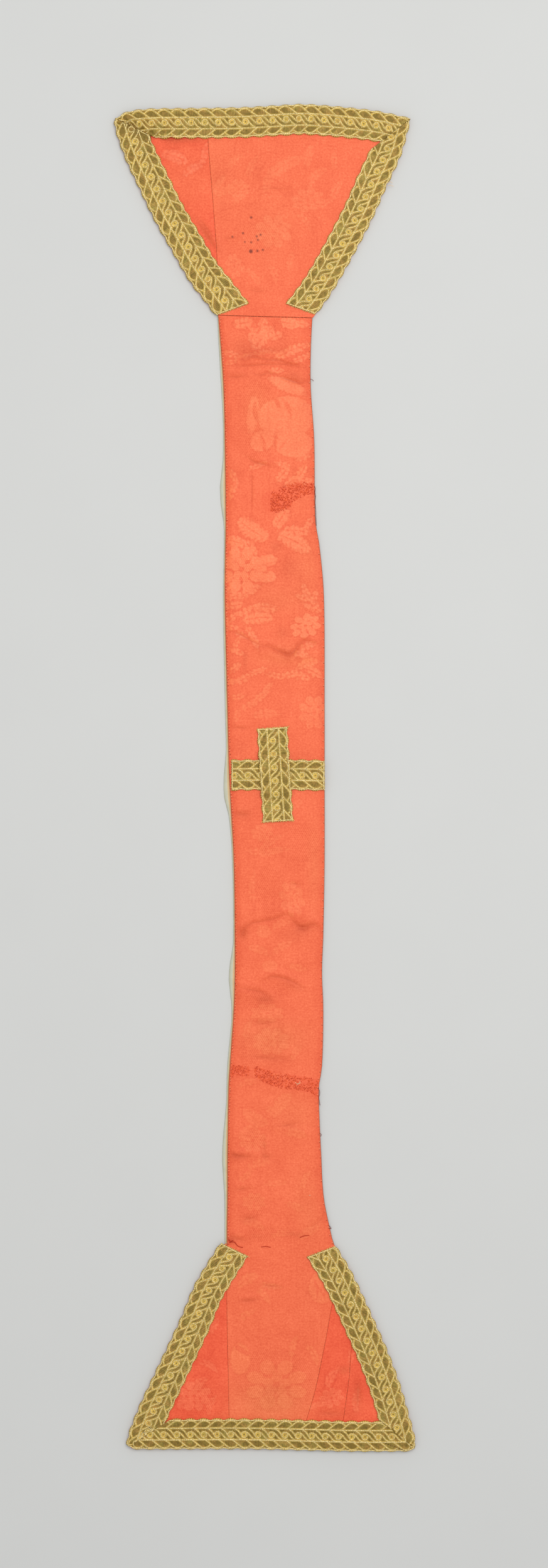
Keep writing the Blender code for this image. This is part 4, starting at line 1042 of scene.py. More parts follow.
# The galloon's strips. Each runs with its outer edge on its left hand: stations of that edge, where a scallop
# has its middle, the width at both ends, the lines that cut it and the pieces under it
UPPER_LEFT = StripShape(
    stations=(
        (-35.2, 323.4), (-43.6, 334.6), (-53.7, 347.8), (-66.4, 369.8), (-78.8, 391.8), (-89.3, 413.8),
        (-99.4, 435.8), (-106.4, 457.8), (-105.4, 462.5),
    ),
    phase=5.0,
    cuts=(((-32.3, 324.9), (-12.8, 332.0)), ((-106.4, 462.6), (-78.3, 449.0))),
    lies_on=("silk_upper_end_gore", "silk_upper_end_panel"),
    start_width=24.8,
)
UPPER_TOP = StripShape(
    stations=(
        (-105.4, 462.6), (-98.5, 466.8), (-90.0, 468.7), (-78.3, 469.6), (-19.0, 470.4), (7.5, 471.8),
        (25.0, 472.7), (40.5, 471.9), (60.3, 470.1), (80.0, 467.6), (102.5, 462.6),
    ),
    phase=73.6,
    cuts=(((-106.4, 462.6), (-78.3, 449.0)), ((103.8, 463.4), (80.5, 445.5))),
    lies_on=("silk_upper_end_gore", "silk_upper_end_panel"),
)
UPPER_RIGHT = StripShape(
    stations=(
        (102.0, 462.5), (101.2, 457.8), (95.0, 435.8), (84.9, 413.8), (75.2, 391.8), (63.8, 369.8),
        (51.5, 347.8), (43.2, 334.6), (34.8, 323.4),
    ),
    phase=64.0,
    cuts=(((103.8, 463.4), (80.5, 445.5)), ((16.3, 331.5), (35.6, 324.5))),
    lies_on=("silk_upper_end_panel",),
)
LOWER_LEFT = StripShape(
    stations=(
        (-93.8, -471.5), (-97.8, -466.2), (-90.6, -444.2), (-80.5, -422.2), (-70.0, -400.2), (-59.8, -378.2),
        (-50.6, -356.2), (-43.1, -343.0), (-33.4, -327.6),
    ),
    phase=7.3,
    cuts=(((-31.2, -325.8), (-10.8, -335.9)), ((-98.2, -469.6), (-68.2, -450.3))),
    lies_on=("silk_lower_left_gore", "silk_lower_band"),
)
LOWER_BOTTOM = StripShape(
    stations=(
        (104.8, -469.8), (102.6, -471.6), (98.0, -472.3), (60.0, -472.4), (-10.0, -470.8), (-88.0, -470.9),
        (-93.4, -470.4), (-96.6, -468.6),
    ),
    phase=73.6,
    cuts=(((-98.2, -469.6), (-68.2, -450.3)), ((106.0, -470.8), (80.5, -450.3))),
    lies_on=("silk_lower_left_gore", "silk_lower_band", "silk_lower_right_gore_inner"),
)
LOWER_RIGHT = StripShape(
    stations=(
        (49.6, -327.6), (59.0, -343.0), (65.6, -356.2), (75.7, -378.2), (85.4, -400.2), (93.7, -422.2),
        (100.3, -444.2), (105.6, -466.2), (103.6, -471.5),
    ),
    phase=4.0,
    cuts=(((29.0, -335.5), (48.8, -328.0)), ((106.0, -470.8), (80.5, -450.3))),
    lies_on=("silk_lower_right_gore_outer", "silk_lower_right_gore_inner", "silk_lower_band"),
)
CROSS_ARM = StripShape(
    stations=((48.0, -9.5), (8.0, -8.9), (-30.0, -9.2)),
    phase=4.0,
    cuts=(((-23.8, 12.6), (-23.8, -8.4)), ((41.2, 12.2), (41.2, -8.8))),
    lies_on=("silk_upper_band", "silk_lower_band"),
)
CROSS_UPRIGHT = StripShape(
    stations=((-1.7, -42.0), (-4.4, 0.0), (-7.1, 44.0)),
    phase=58.2,
    cuts=(((-6.8, 34.3), (16.5, 35.9)), ((-2.9, -31.0), (20.7, -29.7))),
    lies_on=("silk_upper_band", "silk_lower_band", "galloon_ground_cross_arm"),
)
STRIPS = {
    "galloon_upper_left": UPPER_LEFT,
    "galloon_upper_top": UPPER_TOP,
    "galloon_upper_right": UPPER_RIGHT,
    "galloon_lower_left": LOWER_LEFT,
    "galloon_lower_bottom": LOWER_BOTTOM,
    "galloon_lower_right": LOWER_RIGHT,
    "cross_arm": CROSS_ARM,
    "cross_upright": CROSS_UPRIGHT,
}
# Where two strips of galloon meet at a corner
MITRES = (UPPER_TOP.cuts[0], UPPER_TOP.cuts[1], LOWER_BOTTOM.cuts[0], LOWER_BOTTOM.cuts[1])

# Folds of the galloon beside a mitre, along which dark stitches are laid as the painted shadow of the fold
TUCKS = (((79.0, -464.2), (98.5, -471.2)), ((-100.0, 459.0), (-79.0, 455.0)))

# Lines of the pattern in one repeat: millimetres along from the scallop's middle, and the share of the width
RAILS = (0.326, 0.69)
LEAF_LINE = (
    (-4.2, 0.148), (-3.1, 0.108), (-1.7, 0.084), (0.0, 0.077), (1.7, 0.097), (3.4, 0.155), (5.35, 0.229),
    (7.05, 0.29), (8.2, 0.317),
)
SCROLL_LINE = (
    (-2.0, 0.35), (0.2, 0.337), (1.7, 0.337), (3.4, 0.37), (5.35, 0.458), (7.0, 0.545), (9.4, 0.585),
    (10.9, 0.55), (11.4, 0.488), (10.9, 0.425), (9.4, 0.395), (7.95, 0.43), (7.5, 0.488), (7.9, 0.54),
)
SCROLL_EYE = (9.4, 0.49)
BRANCH_LINE = ((2.2, 0.48), (2.8, 0.53), (4.2, 0.607), (5.6, 0.65), (6.6, 0.685))
DOTS = ((-2.9, 0.63), (-2.0, 0.655), (-1.2, 0.62), (4.7, 0.085), (4.7, 0.915))


def scallop(along, repeat):
    """How far the edge cord comes in from the strip's outermost line, as a share of the width."""
    return CORD_INSET + 0.052 * (1 - np.abs(np.cos(pi * along / repeat)))


class StripPath:
    """The outer edge of one strip of galloon, which places a point by its way along, inward and up."""

    def __init__(self, shape, lift, droop):
        stations = np.array(shape.stations, float)
        knots = ways_along(stations)
        spare, step = 30.0, 0.5
        at = np.arange(-spare, knots[-1] + spare, step)
        self.xs = smooth_curve(knots, stations[:, 0], at)
        self.ys = smooth_curve(knots, stations[:, 1], at)
        ways = ways_along(np.column_stack([self.xs, self.ys]))
        self.along = ways - ways[int(spare / step)]
        run_x = np.gradient(self.xs)
        run_y = np.gradient(self.ys)
        size = np.hypot(run_x, run_y)
        self.in_x = run_y / size
        self.in_y = -run_x / size
        self.length = knots[-1]
        self.shape = shape
        self.lift = lift
        self.droop = droop
        self.middle = self.place(np.array(self.length / 2), np.array(0.5), 0.0)

    def width(self, along):
        return np.interp(along, [0.0, self.length], [self.shape.start_width, self.shape.end_width])

    def place(self, along, share, height):
        """Points from the way along in millimetres, the share of the width inward and the height."""
        inward = share * self.width(along)
        x = np.interp(along, self.along, self.xs) + np.interp(along, self.along, self.in_x) * inward
        y = np.interp(along, self.along, self.ys) + np.interp(along, self.along, self.in_y) * inward
        droop = self.droop * (1 - smooth_step(0.0, 3.2, inward))
        return np.stack([x, y, height + self.lift(x, y) - droop], axis=-1)

    def cut_axes(self, cut):
        """The start of a cut, its direction, the direction out of the strip and its length."""
        start, end = np.array(cut)
        length = np.hypot(*(end - start))
        run = (end - start) / length
        out = np.array([run[1], -run[0]])
        if out @ (self.middle[:2] - start) > 0:
            out = -out
        return start, run, out, length

    def depth(self, cut, spots):
        """How far points lie inside one of the strip's cuts."""
        start, _, out, _ = self.cut_axes(cut)
        return (start[0] - spots[..., 0]) * out[0] + (start[1] - spots[..., 1]) * out[1]

    def spots(self, shares):
        """Ways along in fine steps, and points on the strip at each of them and each share of the width."""
        along = np.linspace(-OVERRUN, self.length + OVERRUN, 1200)
        return along, self.place(along[:, None], shares[None], 0.0)

    def beside_cut(self, cut, inset):
        """A line inside a cut, as ways along and shares of the width."""
        shares = np.linspace(0.06, 0.94, 16)
        along, spots = self.spots(shares)
        return along[np.argmin(np.abs(self.depth(cut, spots) - inset), axis=0)], shares

    def flat_cut(self):
        """The width, length and area that the strip is cut to, between its cuts."""
        along, spots = self.spots(np.linspace(0.0, 1.0, 40))
        inside = np.min([self.depth(cut, spots) for cut in self.shape.cuts], axis=0) > 0
        kept = along[inside.any(axis=1)]
        area = np.trapz(inside.mean(axis=1) * self.width(along), along)
        return max(self.shape.start_width, self.shape.end_width), kept[-1] - kept[0], area


def no_lift(x, y):
    return np.zeros_like(x)


def lift_over_arm(x, y):
    """How far the cross's upright rises to pass over the arm, and a little past it."""
    return 1.6 * (1 - smooth_step(0.0, 5.0, np.abs(y - ARM_Y) - ARM_HALF - 1.1))


def lift_bunched_corner(x, y):
    """The upper strip is folded over at its left corner: a ridge beside the mitre, and a lower edge that
    stands off the silk."""
    lifted = 1.5 * np.exp(-(((x + 66.0) / 14.0) ** 2)) * smooth_step(462.0, 447.0, y)
    # The pleat runs down from the corner, in the direction (0.91, -0.414)
    from_pleat = (y - 462.2) * 0.91 + (x + 103.8) * 0.414
    along_pleat = (x + 103.8) * 0.91 - (y - 462.2) * 0.414
    ridge = np.exp(-(((from_pleat - 3.2) / 1.9) ** 2)) - 0.5 * np.exp(-((from_pleat / 1.2) ** 2))
    return lifted + 1.9 * ridge * smooth_step(1.0, 7.0, along_pleat) * smooth_step(46.0, 26.0, along_pleat)


def strip_path(name):
    """The path of a strip. All but the cross's strips droop over the silk's edge."""
    lifts = {"cross_upright": lift_over_arm, "galloon_upper_top": lift_bunched_corner}
    return StripPath(STRIPS[name], lifts.get(name, no_lift), 0.0 if name.startswith("cross") else 1.3)


def galloon_material(look):
    """Flat-woven gilt thread: metal strip wound on silk, in fine ribs across the strip, dull and olive with
    tarnish, and darkest in the hollows of the leaves."""
    material, tree, shader = new_material("tarnished_gilt_thread_weave")
    place = add_node(tree, "TexCoord", "Object")
    gap = add_node(tree, "Attribute", "Fac", attribute_name="gap")
    strip = add_node(tree, "UVMap", uv_map="strip")
    along = add_node(tree, "SeparateXYZ", inputs={0: strip})
    fine, waver, wear_and_edge_shade, moist = (
        add_node(tree, "TexNoise", inputs={"Vector": place, "Scale": scale, "Detail": detail})
        for scale, detail in ((900.0, 2.0), (500.0, 1.0), (240.0, 3.0), (150.0, 2.0))
    )
    # Threads 0.45 mm thick run across the strip; they are drawn 1.05 mm apart, so that they show
    phase = add_node(tree, "Math", inputs={0: waver, 1: 5.0}, operation="MULTIPLY")
    phase = add_node(tree, "Math", inputs={0: along, 1: 2 * pi / 1.05, 2: phase}, operation="MULTIPLY_ADD")
    thread = add_node(tree, "Math", inputs={0: phase}, operation="SINE")
    hollow = add_node(
        tree, "MapRange", interpolation_type="SMOOTHSTEP",
        inputs={"Value": gap, "From Min": 0.3, "From Max": 1.0, "To Max": 0.82},
    )
    tarnish, green = (
        add_node(tree, "MapRange", inputs={"Value": value, "From Min": low, "From Max": high, "To Max": most})
        for value, low, high, most in ((wear_and_edge_shade, 0.45, 0.7, 0.5), (moist, 0.5, 0.75, 0.6))
    )
    colour = look.ground
    for share, other in ((hollow, look.shadow), (green, look.verdigris), (tarnish, look.tarnish)):
        colour = add_node(tree, "Mix", 2, {0: share, 6: colour, 7: other}, data_type="RGBA")
    tone = add_node(tree, "Math", inputs={0: fine, 1: 0.9, 2: 0.55}, operation="MULTIPLY_ADD")
    tone = add_node(tree, "Math", inputs={0: thread, 1: 0.19, 2: tone}, operation="MULTIPLY_ADD")
    colour = add_node(tree, "Mix", 2, {0: 1.0, 6: colour, 7: tone}, data_type="RGBA", blend_type="MULTIPLY")
    tree.links.new(colour, shader.inputs["Base Color"])
    height = add_node(tree, "Math", inputs={0: fine, 1: 0.16}, operation="MULTIPLY")
    height = add_node(tree, "Math", inputs={0: thread, 1: 0.06, 2: height}, operation="MULTIPLY_ADD")
    bump = add_node(tree, "Bump", inputs={"Height": height, "Distance": MM, "Strength": 1.0})
    tree.links.new(bump, shader.inputs["Normal"])
    shader.inputs["Metallic"].default_value = 0.25
    shader.inputs["Roughness"].default_value = 0.5
    shader.inputs["Specular IOR Level"].default_value = 0.3
    return material


def gimp_material(look):
    """Gimp cord: gilt strip wound tightly round a core, so that each turn gives a short bright glint."""
    material, tree, shader = new_material("gilt_gimp_cord")
    place = add_node(tree, "TexCoord", "Object")
    # The turns are drawn about 0.7 mm long
    turns = add_node(tree, "TexVoronoi", "Distance", {"Vector": place, "Scale": 1500.0})
    age = add_node(tree, "TexNoise", inputs={"Vector": place, "Scale": 180.0, "Detail": 3.0})
    glint = add_node(
        tree, "MapRange",
        inputs={"Value": turns, "From Min": 0.1, "From Max": 0.75, "To Min": 1.15, "To Max": 0.5},
    )
    wear_and_edge_shade = add_node(tree, "MapRange", inputs={"Value": age, "From Min": 0.3, "From Max": 0.7, "To Max": 0.3})
    colour = add_node(tree, "Mix", 2, {0: wear_and_edge_shade, 6: look.gimp, 7: look.ground}, data_type="RGBA")
    colour = add_node(tree, "Mix", 2, {0: 1.0, 6: colour, 7: glint}, data_type="RGBA", blend_type="MULTIPLY")
    tree.links.new(colour, shader.inputs["Base Color"])
    bump = add_node(tree, "Bump", inputs={"Height": turns, "Distance": 0.12 * MM})
    tree.links.new(bump, shader.inputs["Normal"])
    shader.inputs["Metallic"].default_value = 0.2
    shader.inputs["Roughness"].default_value = 0.35
    return material


def repeat_lines(repeat, step):
    """The gimp lines of one repeat in short steps, as arrays of way along and share of the width."""
    # A rough width is enough to count the steps of a line
    rough_width = 22.0
    found = []
    for line in (LEAF_LINE, SCROLL_LINE, BRANCH_LINE):
        size = np.sum(np.hypot(*(np.diff(line, axis=0).T * [[1.0], [rough_width]])))
        places = smooth_line(line, np.linspace(0, len(line) - 1, max(3, ceil(size / step))))
        places[:, 0] *= repeat / REPEAT
        found.append(places)
    mirrored = found[0].copy()
    mirrored[:, 1] = 1.0 - mirrored[:, 1]
    return found + [mirrored]


def cut_strip(piece, path):
    """Cuts a closed mesh along the upright planes at its strip's ends."""
    select_only(piece)
    for cut in path.shape.cuts:
        start, _, out, _ = path.cut_axes(cut)
        bpy.ops.object.mode_set(mode="EDIT")
        bpy.ops.mesh.select_all(action="SELECT")
        bpy.ops.mesh.bisect(
            plane_co=(start[0] * MM, start[1] * MM, 0.0), plane_no=(out[0], out[1], 0.0),
            use_fill=True, clear_outer=True,
        )
        bpy.ops.object.mode_set(mode="OBJECT")


class STOLE_OT_galloon(bpy.types.Operator):
    """Lays the galloon round both ends and in a cross: a woven ground, and the gimp cords of its pattern"""

    bl_idname = "stole.galloon"
    bl_label = "Galloon"

    def execute(self, context):
        look = context.scene.stole_galloon
        weave = galloon_material(look)
        gimp = gimp_material(look)
        for name, shape in STRIPS.items():
            path = strip_path(name)
            ground = self.ground(name, path, look, weave)
            cords = self.cords(name, path, look, gimp)
            cut_strip(ground, path)
            cut_strip(cords, path)
            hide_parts(name)
            width, length, area = path.flat_cut()
        return {"FINISHED"}

    def ground(self, name, path, look, material):
        repeat = look.repeat / MM
        count = ceil((path.length + 2 * OVERRUN) / (repeat / 18))
        along = np.linspace(-OVERRUN, path.length + OVERRUN, count)
        share = np.linspace(0.0, 1.0, 37)
        # The outermost threads stand out in small loops
        loops = np.sin(2 * pi * along / LOOP_PITCH)
        rim = scallop(along - path.shape.phase, repeat) - 0.008 - 0.007 * loops
        u = np.repeat(along[:, None], len(share), axis=1)
        v = rim[:, None] + (1 - 2 * rim[:, None]) * share
        gap = self.gap_to_cords(u - path.shape.phase, v, repeat)
        # Painted shade: the outermost columns darken both edges of the strip, most between the loops
        gap[:, [0, -1]] = (0.75 - 0.5 * loops)[:, None]
        if name == "galloon_upper_left":
            # The bunched strip beside it leaves a hollow along the mitre, darkened with painted shade
            flat = path.place(u, v, 0.0)
            beside = np.exp(-(((path.depth(MITRES[0], flat) - 1.6) / 2.4) ** 2))
            start_x, start_y = MITRES[0][0]
            inner = smooth_step(4.0, 20.0, np.hypot(flat[..., 0] - start_x, flat[..., 1] - start_y))
            gap = gap + 0.85 * beside * inner
        dip = 0.16 * np.minimum(gap, 1.0)
        rounding = 0.35 * (1 - smooth_step(0.0, 0.03, np.minimum(share, 1 - share)))
        top = path.place(u, v, GALLOON_TOP - dip - rounding)
        lower = path.place(u, v, np.full(u.shape, GALLOON_UNDER))[..., 2]
        # The shell's rows run down the strip with the inner edge on their right
        return add_shell(
            f"galloon_ground_{name}", top[:, ::-1], lower[:, ::-1], material,
            uvs={"strip": np.stack([u, v * GALLOON_WIDTH], axis=-1)[:, ::-1]},
            attributes={"gap": gap[:, ::-1]},
        )

    def gap_to_cords(self, along, share, repeat):
        """The distance in millimetres to the nearest cord, for the colour and depth of the hollows."""
        phase = (along + repeat / 2) % repeat - repeat / 2
        across = share * GALLOON_WIDTH
        edge = scallop(along, repeat)
        gap = np.minimum(np.abs(share - RAILS[0]), np.abs(share - RAILS[1])) * GALLOON_WIDTH
        gap = np.minimum(gap, np.minimum(share - edge, 1 - edge - share) * GALLOON_WIDTH)
        for line in repeat_lines(repeat, 1.6):
            for shift in (-2 * repeat, -repeat, 0.0, repeat):
                found, _, _ = line_distance((line + (shift, 0.0)) * (1.0, GALLOON_WIDTH), phase, across)
                gap = np.minimum(gap, found)
        # An inner winding lies round the scroll's eye
        eye_x, eye_share = SCROLL_EYE
        for shift in (-repeat, 0.0):
            from_eye = np.hypot(phase - eye_x * repeat / REPEAT - shift, across - eye_share * GALLOON_WIDTH)
            gap = np.minimum(gap, 0.35 + 0.65 * np.abs(from_eye - 1.15))
        return np.maximum(gap, 0.0)

    def cords(self, name, path, look, material):
        """Round cords on the ground: one along each edge, rail and free end, and those of the pattern."""
        repeat = look.repeat / MM
        phase = path.shape.phase
        level = GALLOON_TOP + 0.1
        whole = np.arange(2.0 - OVERRUN, path.length + OVERRUN - 2.0, 0.75)
        # The edge cord waves less than the edge, so that ribs of the ground stand out past it in small lobes
        wave = 0.054 + 0.35 * (scallop(whole - phase, repeat) - CORD_INSET)
        lines = [(path.place(whole, share, level), 1.15) for share in (wave, 1 - wave)]
        lines += [(path.place(whole, np.full(len(whole), rail), level + 0.08), 1.05) for rail in RAILS]
        for cut in path.shape.cuts:
            if cut not in MITRES:
                lines.append((path.place(*path.beside_cut(cut, 0.6), level), 1.15))
        pattern = repeat_lines(repeat, 0.85)
        first = floor((-phase - 12) / repeat)
        last = ceil((path.length - phase + 12) / repeat)
        for k in range(first, last + 1):
            centre = phase + k * repeat
            for line in pattern:
                lines.append((path.place(centre + line[:, 0], line[:, 1], level), 1.0))
            for along, share in DOTS:
                spot = centre + along + np.array([-0.12, 0.12])
                lines.append((path.place(spot, np.full(2, share), level), 0.85))
        return add_cords(f"gimp_{name}", lines, look.cord, material, roundness=1)


# Sewn seams of the end panels, and the neck seam
SEAM_LINES = (
    ((-40.4, 446.0), (-39.2, 430.0), (-37.0, 405.5), (-35.4, 384.0), (-33.9, 362.3), (-33.4, 348.0)),
    ((-27.2, -346.0), (-27.2, -364.0), (-26.4, -410.0), (-25.6, -449.0)),
    ((48.4, -360.6), (45.3, -375.5), (41.8, -395.3), (34.8, -428.8), (29.0, -448.6)),
    ((59.2, -408.0), (58.5, -420.4), (54.7, -448.6)),
    ((-32.0, 324.2), (0.0, 323.3), (31.8, 322.4)),
)

# Loose threads at the silk's edges and mends: the points of each, x and y, with its height above the floor
LOOSE_THREADS = (
    ((31.4, 279.6, 2.6), (32.8, 279.0, 2.7), (33.6, 278.2, 2.3)),
    (
        (34.4, 201.4, 2.4), (34.9, 197.5, 2.2), (34.7, 193.0, 2.3), (35.1, 188.0, 2.1), (35.2, 183.0, 2.1),
        (35.6, 176.8, 2.1),
    ),
    ((34.2, 204.6, 2.6), (34.8, 203.0, 2.3), (34.6, 199.6, 2.3), (35.1, 196.8, 2.2)),
    ((36.9, -217.0, 2.4), (38.0, -220.5, 2.0), (37.3, -224.0, 2.1), (38.2, -229.4, 2.0)),
    ((38.0, -249.0, 2.5), (39.0, -249.8, 2.2), (38.6, -251.2, 2.1)),
    ((43.4, -313.4, 2.2), (45.0, -314.2, 2.0), (45.8, -316.0, 1.8)),
    ((43.6, -315.2, 2.2), (44.9, -315.9, 2.0), (46.2, -315.4, 1.8)),
)
# Tufts of red thread where a strip of galloon starts at the neck
NECK_TUFTS = (
    ((-26.0, -323.0, 2.9), (-24.4, -324.6, 3.1), (-22.6, -323.8, 2.9)),
    ((-25.4, -325.4, 2.8), (-22.2, -325.0, 3.1), (-20.6, -326.6, 2.9)),
    ((-20.6, -326.8, 2.8), (-18.8, -328.2, 3.0), (-15.8, -329.0, 2.9)),
    ((24.0, -322.0, 2.9), (27.0, -320.8, 3.0), (30.6, -320.4, 2.8)),
    ((-3.0, -328.6, 2.9), (0.4, -328.2, 3.0), (3.6, -328.8, 2.9)),
)
PALE_FIBRES = (
    ((20.6, -213.2, 3.0), (22.6, -214.2, 3.4), (24.8, -213.6, 3.0)),
    ((21.6, -215.4, 3.0), (23.4, -213.8, 3.4), (24.2, -212.2, 3.0)),
    ((30.4, -292.6, 2.8), (31.0, -292.2, 3.0), (31.5, -292.6, 2.8)),
    ((84.8, 416.6, 3.6), (87.4, 417.6, 3.8), (88.8, 416.6, 3.4)),
    ((85.6, 414.8, 3.6), (87.8, 415.2, 3.9), (89.6, 414.2, 3.3)),
)


def thread_material(name, colour, other):
    """Silk sewing thread: twisted and matt, its tone uneven from stitch to stitch."""
    material, tree, shader = new_material(name)
    shade = add_node(tree, "Attribute", "Fac", attribute_name="shade")
    place = add_node(tree, "TexCoord", "Object")
    twist = add_node(tree, "TexNoise", inputs={"Vector": place, "Scale": 2200.0, "Detail": 1.0})
    mix = add_node(tree, "Mix", 2, {0: shade, 6: colour, 7: other}, data_type="RGBA")
    tree.links.new(mix, shader.inputs["Base Color"])
    bump = add_node(tree, "Bump", inputs={"Height": twist, "Distance": 0.08 * MM})
    tree.links.new(bump, shader.inputs["Normal"])
    shader.inputs["Roughness"].default_value = 0.8
    shader.inputs["Specular IOR Level"].default_value = 0.2
    return material


def add_stitches(name, rng, spots, lengths, widths, material, shade_power=1.0, scale=1.0):
    """One stitch, shaped from a low sphere and copied to each spot, which has its place and turn. Sizes and
    tones are drawn between limits."""
    places, turns = (np.concatenate(part) for part in zip(*spots))
    count = len(turns)
    sizes = np.column_stack([rng.uniform(*lengths, count), rng.uniform(*widths, count)]) * scale
    shades = rng.uniform(0, 1, count) ** shade_power
    bpy.ops.object.select_all(action="DESELECT")
    bpy.ops.mesh.primitive_uv_sphere_add(segments=6, ring_count=4, radius=0.5, rotation=(0.0, pi / 2, 0.0))
    model = bpy.context.active_object
    bpy.ops.object.transform_apply(location=False, rotation=True, scale=False)
    shape = np.array([vert.co for vert in model.data.vertices])
    # Blender orders a new sphere's faces by chance, and every run has to give the same mesh
    faces = sorted(tuple(face.vertices) for face in model.data.polygons)
    bpy.data.objects.remove(model, do_unlink=True)
    scaled = shape[None] * sizes[:, [0, 1, 1]][:, None]
    turned_x = scaled[..., 0] * np.cos(turns)[:, None] - scaled[..., 1] * np.sin(turns)[:, None]
    turned_y = scaled[..., 0] * np.sin(turns)[:, None] + scaled[..., 1] * np.cos(turns)[:, None]
    points = np.stack([turned_x, turned_y, scaled[..., 2]], axis=-1) + places[:, None]
    copied = [tuple(v + k * len(shape) for v in face) for k in range(count) for face in faces]
    values = np.repeat(shades, len(shape))
    return add_mesh(name, points.reshape(-1, 3), copied, material, attributes={"shade": values})


def add_threads(name, lines, radius, material):
    """Thin loose threads along smooth lines."""
    smooth = [(smooth_line(line, np.linspace(0, len(line) - 1, 3 * len(line))), 1.0) for line in lines]
    return add_cords(name, smooth, radius * MM, material)


class STOLE_OT_stitches(bpy.types.Operator):
    """Sews the edges, seams and old darns, lays dark stitches as painted shade on the galloon, and adds the
    frayed ends and loose threads
    """

    bl_idname = "stole.stitches"
    bl_label = "Stitches and mends"

    def execute(self, context):
        look = context.scene.stole_stitches
        rng = np.random.default_rng(look.seed)
        pale = thread_material("peach_silk_sewing_thread", look.whip, linear("#E07850"))
        red = thread_material("red_silk_darning_thread", look.darn, linear("#F06A3C"))
        plum = thread_material("plum_silk_thread", linear("#7A2E2C"), linear("#A04A3C"))
        fibre = thread_material("pale_silk_fibres", linear("#E8C8A0"), linear("#D0A080"))
        seam = thread_material("coral_silk_sewing_thread", linear("#9C4A30"), linear("#C86444"))
        # Painted shade: dark thread for the shade at the galloon's notches and folds
        brown = thread_material("painted_shade_thread", linear("#54380F"), linear("#84602A"))
        gilt = thread_material("frayed_gilt_thread", linear("#E6CE7C"), linear("#7A5E22"))
        self.whip_stitches(look, rng, pale)
        self.seam_stitches(rng, seam)
        self.galloon_shade_stitches(context.scene.stole_galloon.repeat / MM, rng, brown)
        self.frayed_ends(rng, gilt)
        self.darns(rng, red)
        add_threads("loose_edge_threads", LOOSE_THREADS, 0.18, plum)
        add_threads("neck_tufts", NECK_TUFTS, 0.26, red)
        add_threads("pale_loose_fibres", PALE_FIBRES, 0.14, fibre)
        return {"FINISHED"}

    def whip_stitches(self, look, rng, material):
        """Slanted stitches over the band's edges, wider apart at the right, and a needle hole beside each."""
        spots = []
        for name in BAND_NODES:
            left, right = node_edges(name, SILK_UNDER)
            for edge, inward, wider in ((left, 1.0, 1.0), (right, -1.0, 2.6)):
                pitch = wider * look.pitch / MM
                y = np.arange(max(edge[-1, 1], BAND_FOOT) + 2.0, edge[0, 1] - 2.0, pitch)
                y = y + rng.normal(0.0, 0.22, len(y))
                inset = 1.05 + rng.normal(0.0, 0.14, len(y))
                x = edge_at(edge, y) + inward * inset
                z = silk_height(x, y, inset, inset) - 0.02
                turns = rng.normal(0.5 * inward, 0.3, len(y))
                away = np.abs(y - ARM_Y) > 12.0
                spots.append((np.column_stack([x, y, z])[away], turns[away]))
        add_stitches(
            "whip_stitches", rng, spots, (0.8, 1.3), (0.4, 0.58), material, shade_power=2.0
        )
        shadow = thread_material("shaded_needle_holes", linear("#8E3E28"), linear("#B85A3C"))
        beside = np.concatenate([places for places, _ in spots]) - (0.0, 0.75, 0.0)
        beside[:, 0] += rng.normal(0.0, 0.2, len(beside))
        holes = [(beside, np.concatenate([turns for _, turns in spots]))]
        add_stitches("whip_stitch_holes", rng, holes, (0.7, 1.2), (0.35, 0.5), shadow)

    def seam_stitches(self, rng, material):
        """Short stitches that close the seams of the end panels, seen as a broken line."""
        spots = []
        for line in SEAM_LINES:
            knots = ways_along(line)
            at = np.arange(1.0, knots[-1] - 1.0, 2.3)
            at = at + rng.normal(0.0, 0.2, len(at))
            xs, ys = np.array(line).T
            x, y = np.interp(at, knots, xs), np.interp(at, knots, ys)
            run = np.interp(at, knots, np.arctan2(np.gradient(ys), np.gradient(xs)))
            z = silk_height(x, y, INLAND, 0.6) - 0.14
            spots.append((np.column_stack([x, y, z]), run + rng.normal(0.0, 0.08, len(at))))
        add_stitches("seam_stitches", rng, spots, (0.9, 1.5), (0.4, 0.52), material)

    def galloon_shade_stitches(self, repeat, rng, material):
        """Small dark stitches laid as painted shade: in the notches of the galloon's edges, for the shade
        between the scallops, and along its folds, for their shadow lines.
        """
        spots = []
        for name, shape in STRIPS.items():
            path = strip_path(name)
            for share in (0.068, 0.932):
                at = np.arange(shape.phase % repeat - 1.5 * repeat, path.length + repeat, repeat)
                at = at + rng.normal(0.0, 0.2, len(at))
                shares = np.full(len(at), share)
                found = path.place(at, shares, GALLOON_TOP - 0.2)
                fits = np.min([path.depth(cut, found) for cut in shape.cuts], axis=0) > 0.8
                run = (path.place(at + 0.5, shares, GALLOON_TOP) - found)[fits]
                turns = np.arctan2(run[:, 1], run[:, 0]) + rng.normal(0.0, 0.25, len(run))
                spots.append((found[fits], turns))
        in_notches = sum(len(turns) for _, turns in spots)
        for start, end in MITRES[:2] + TUCKS:
            run = np.subtract(end, start)
            size = np.hypot(*run)
            at = np.arange(3.8, size - 1.6, 1.7)
            along = start + np.outer(at / size, run)
            places = np.column_stack([along, np.full(len(at), GALLOON_TOP + 0.1)])
            spots.append((places, np.arctan2(run[1], run[0]) + rng.normal(0.0, 0.12, len(at))))
        # The dark stitches along the folds are finer
        scale = np.ones((sum(len(turns) for _, turns in spots), 2))
        scale[in_notches:] = (0.7, 0.5)
        add_stitches("galloon_shade_stitches", rng, spots, (1.5, 2.2), (0.8, 1.1), material, scale=scale)

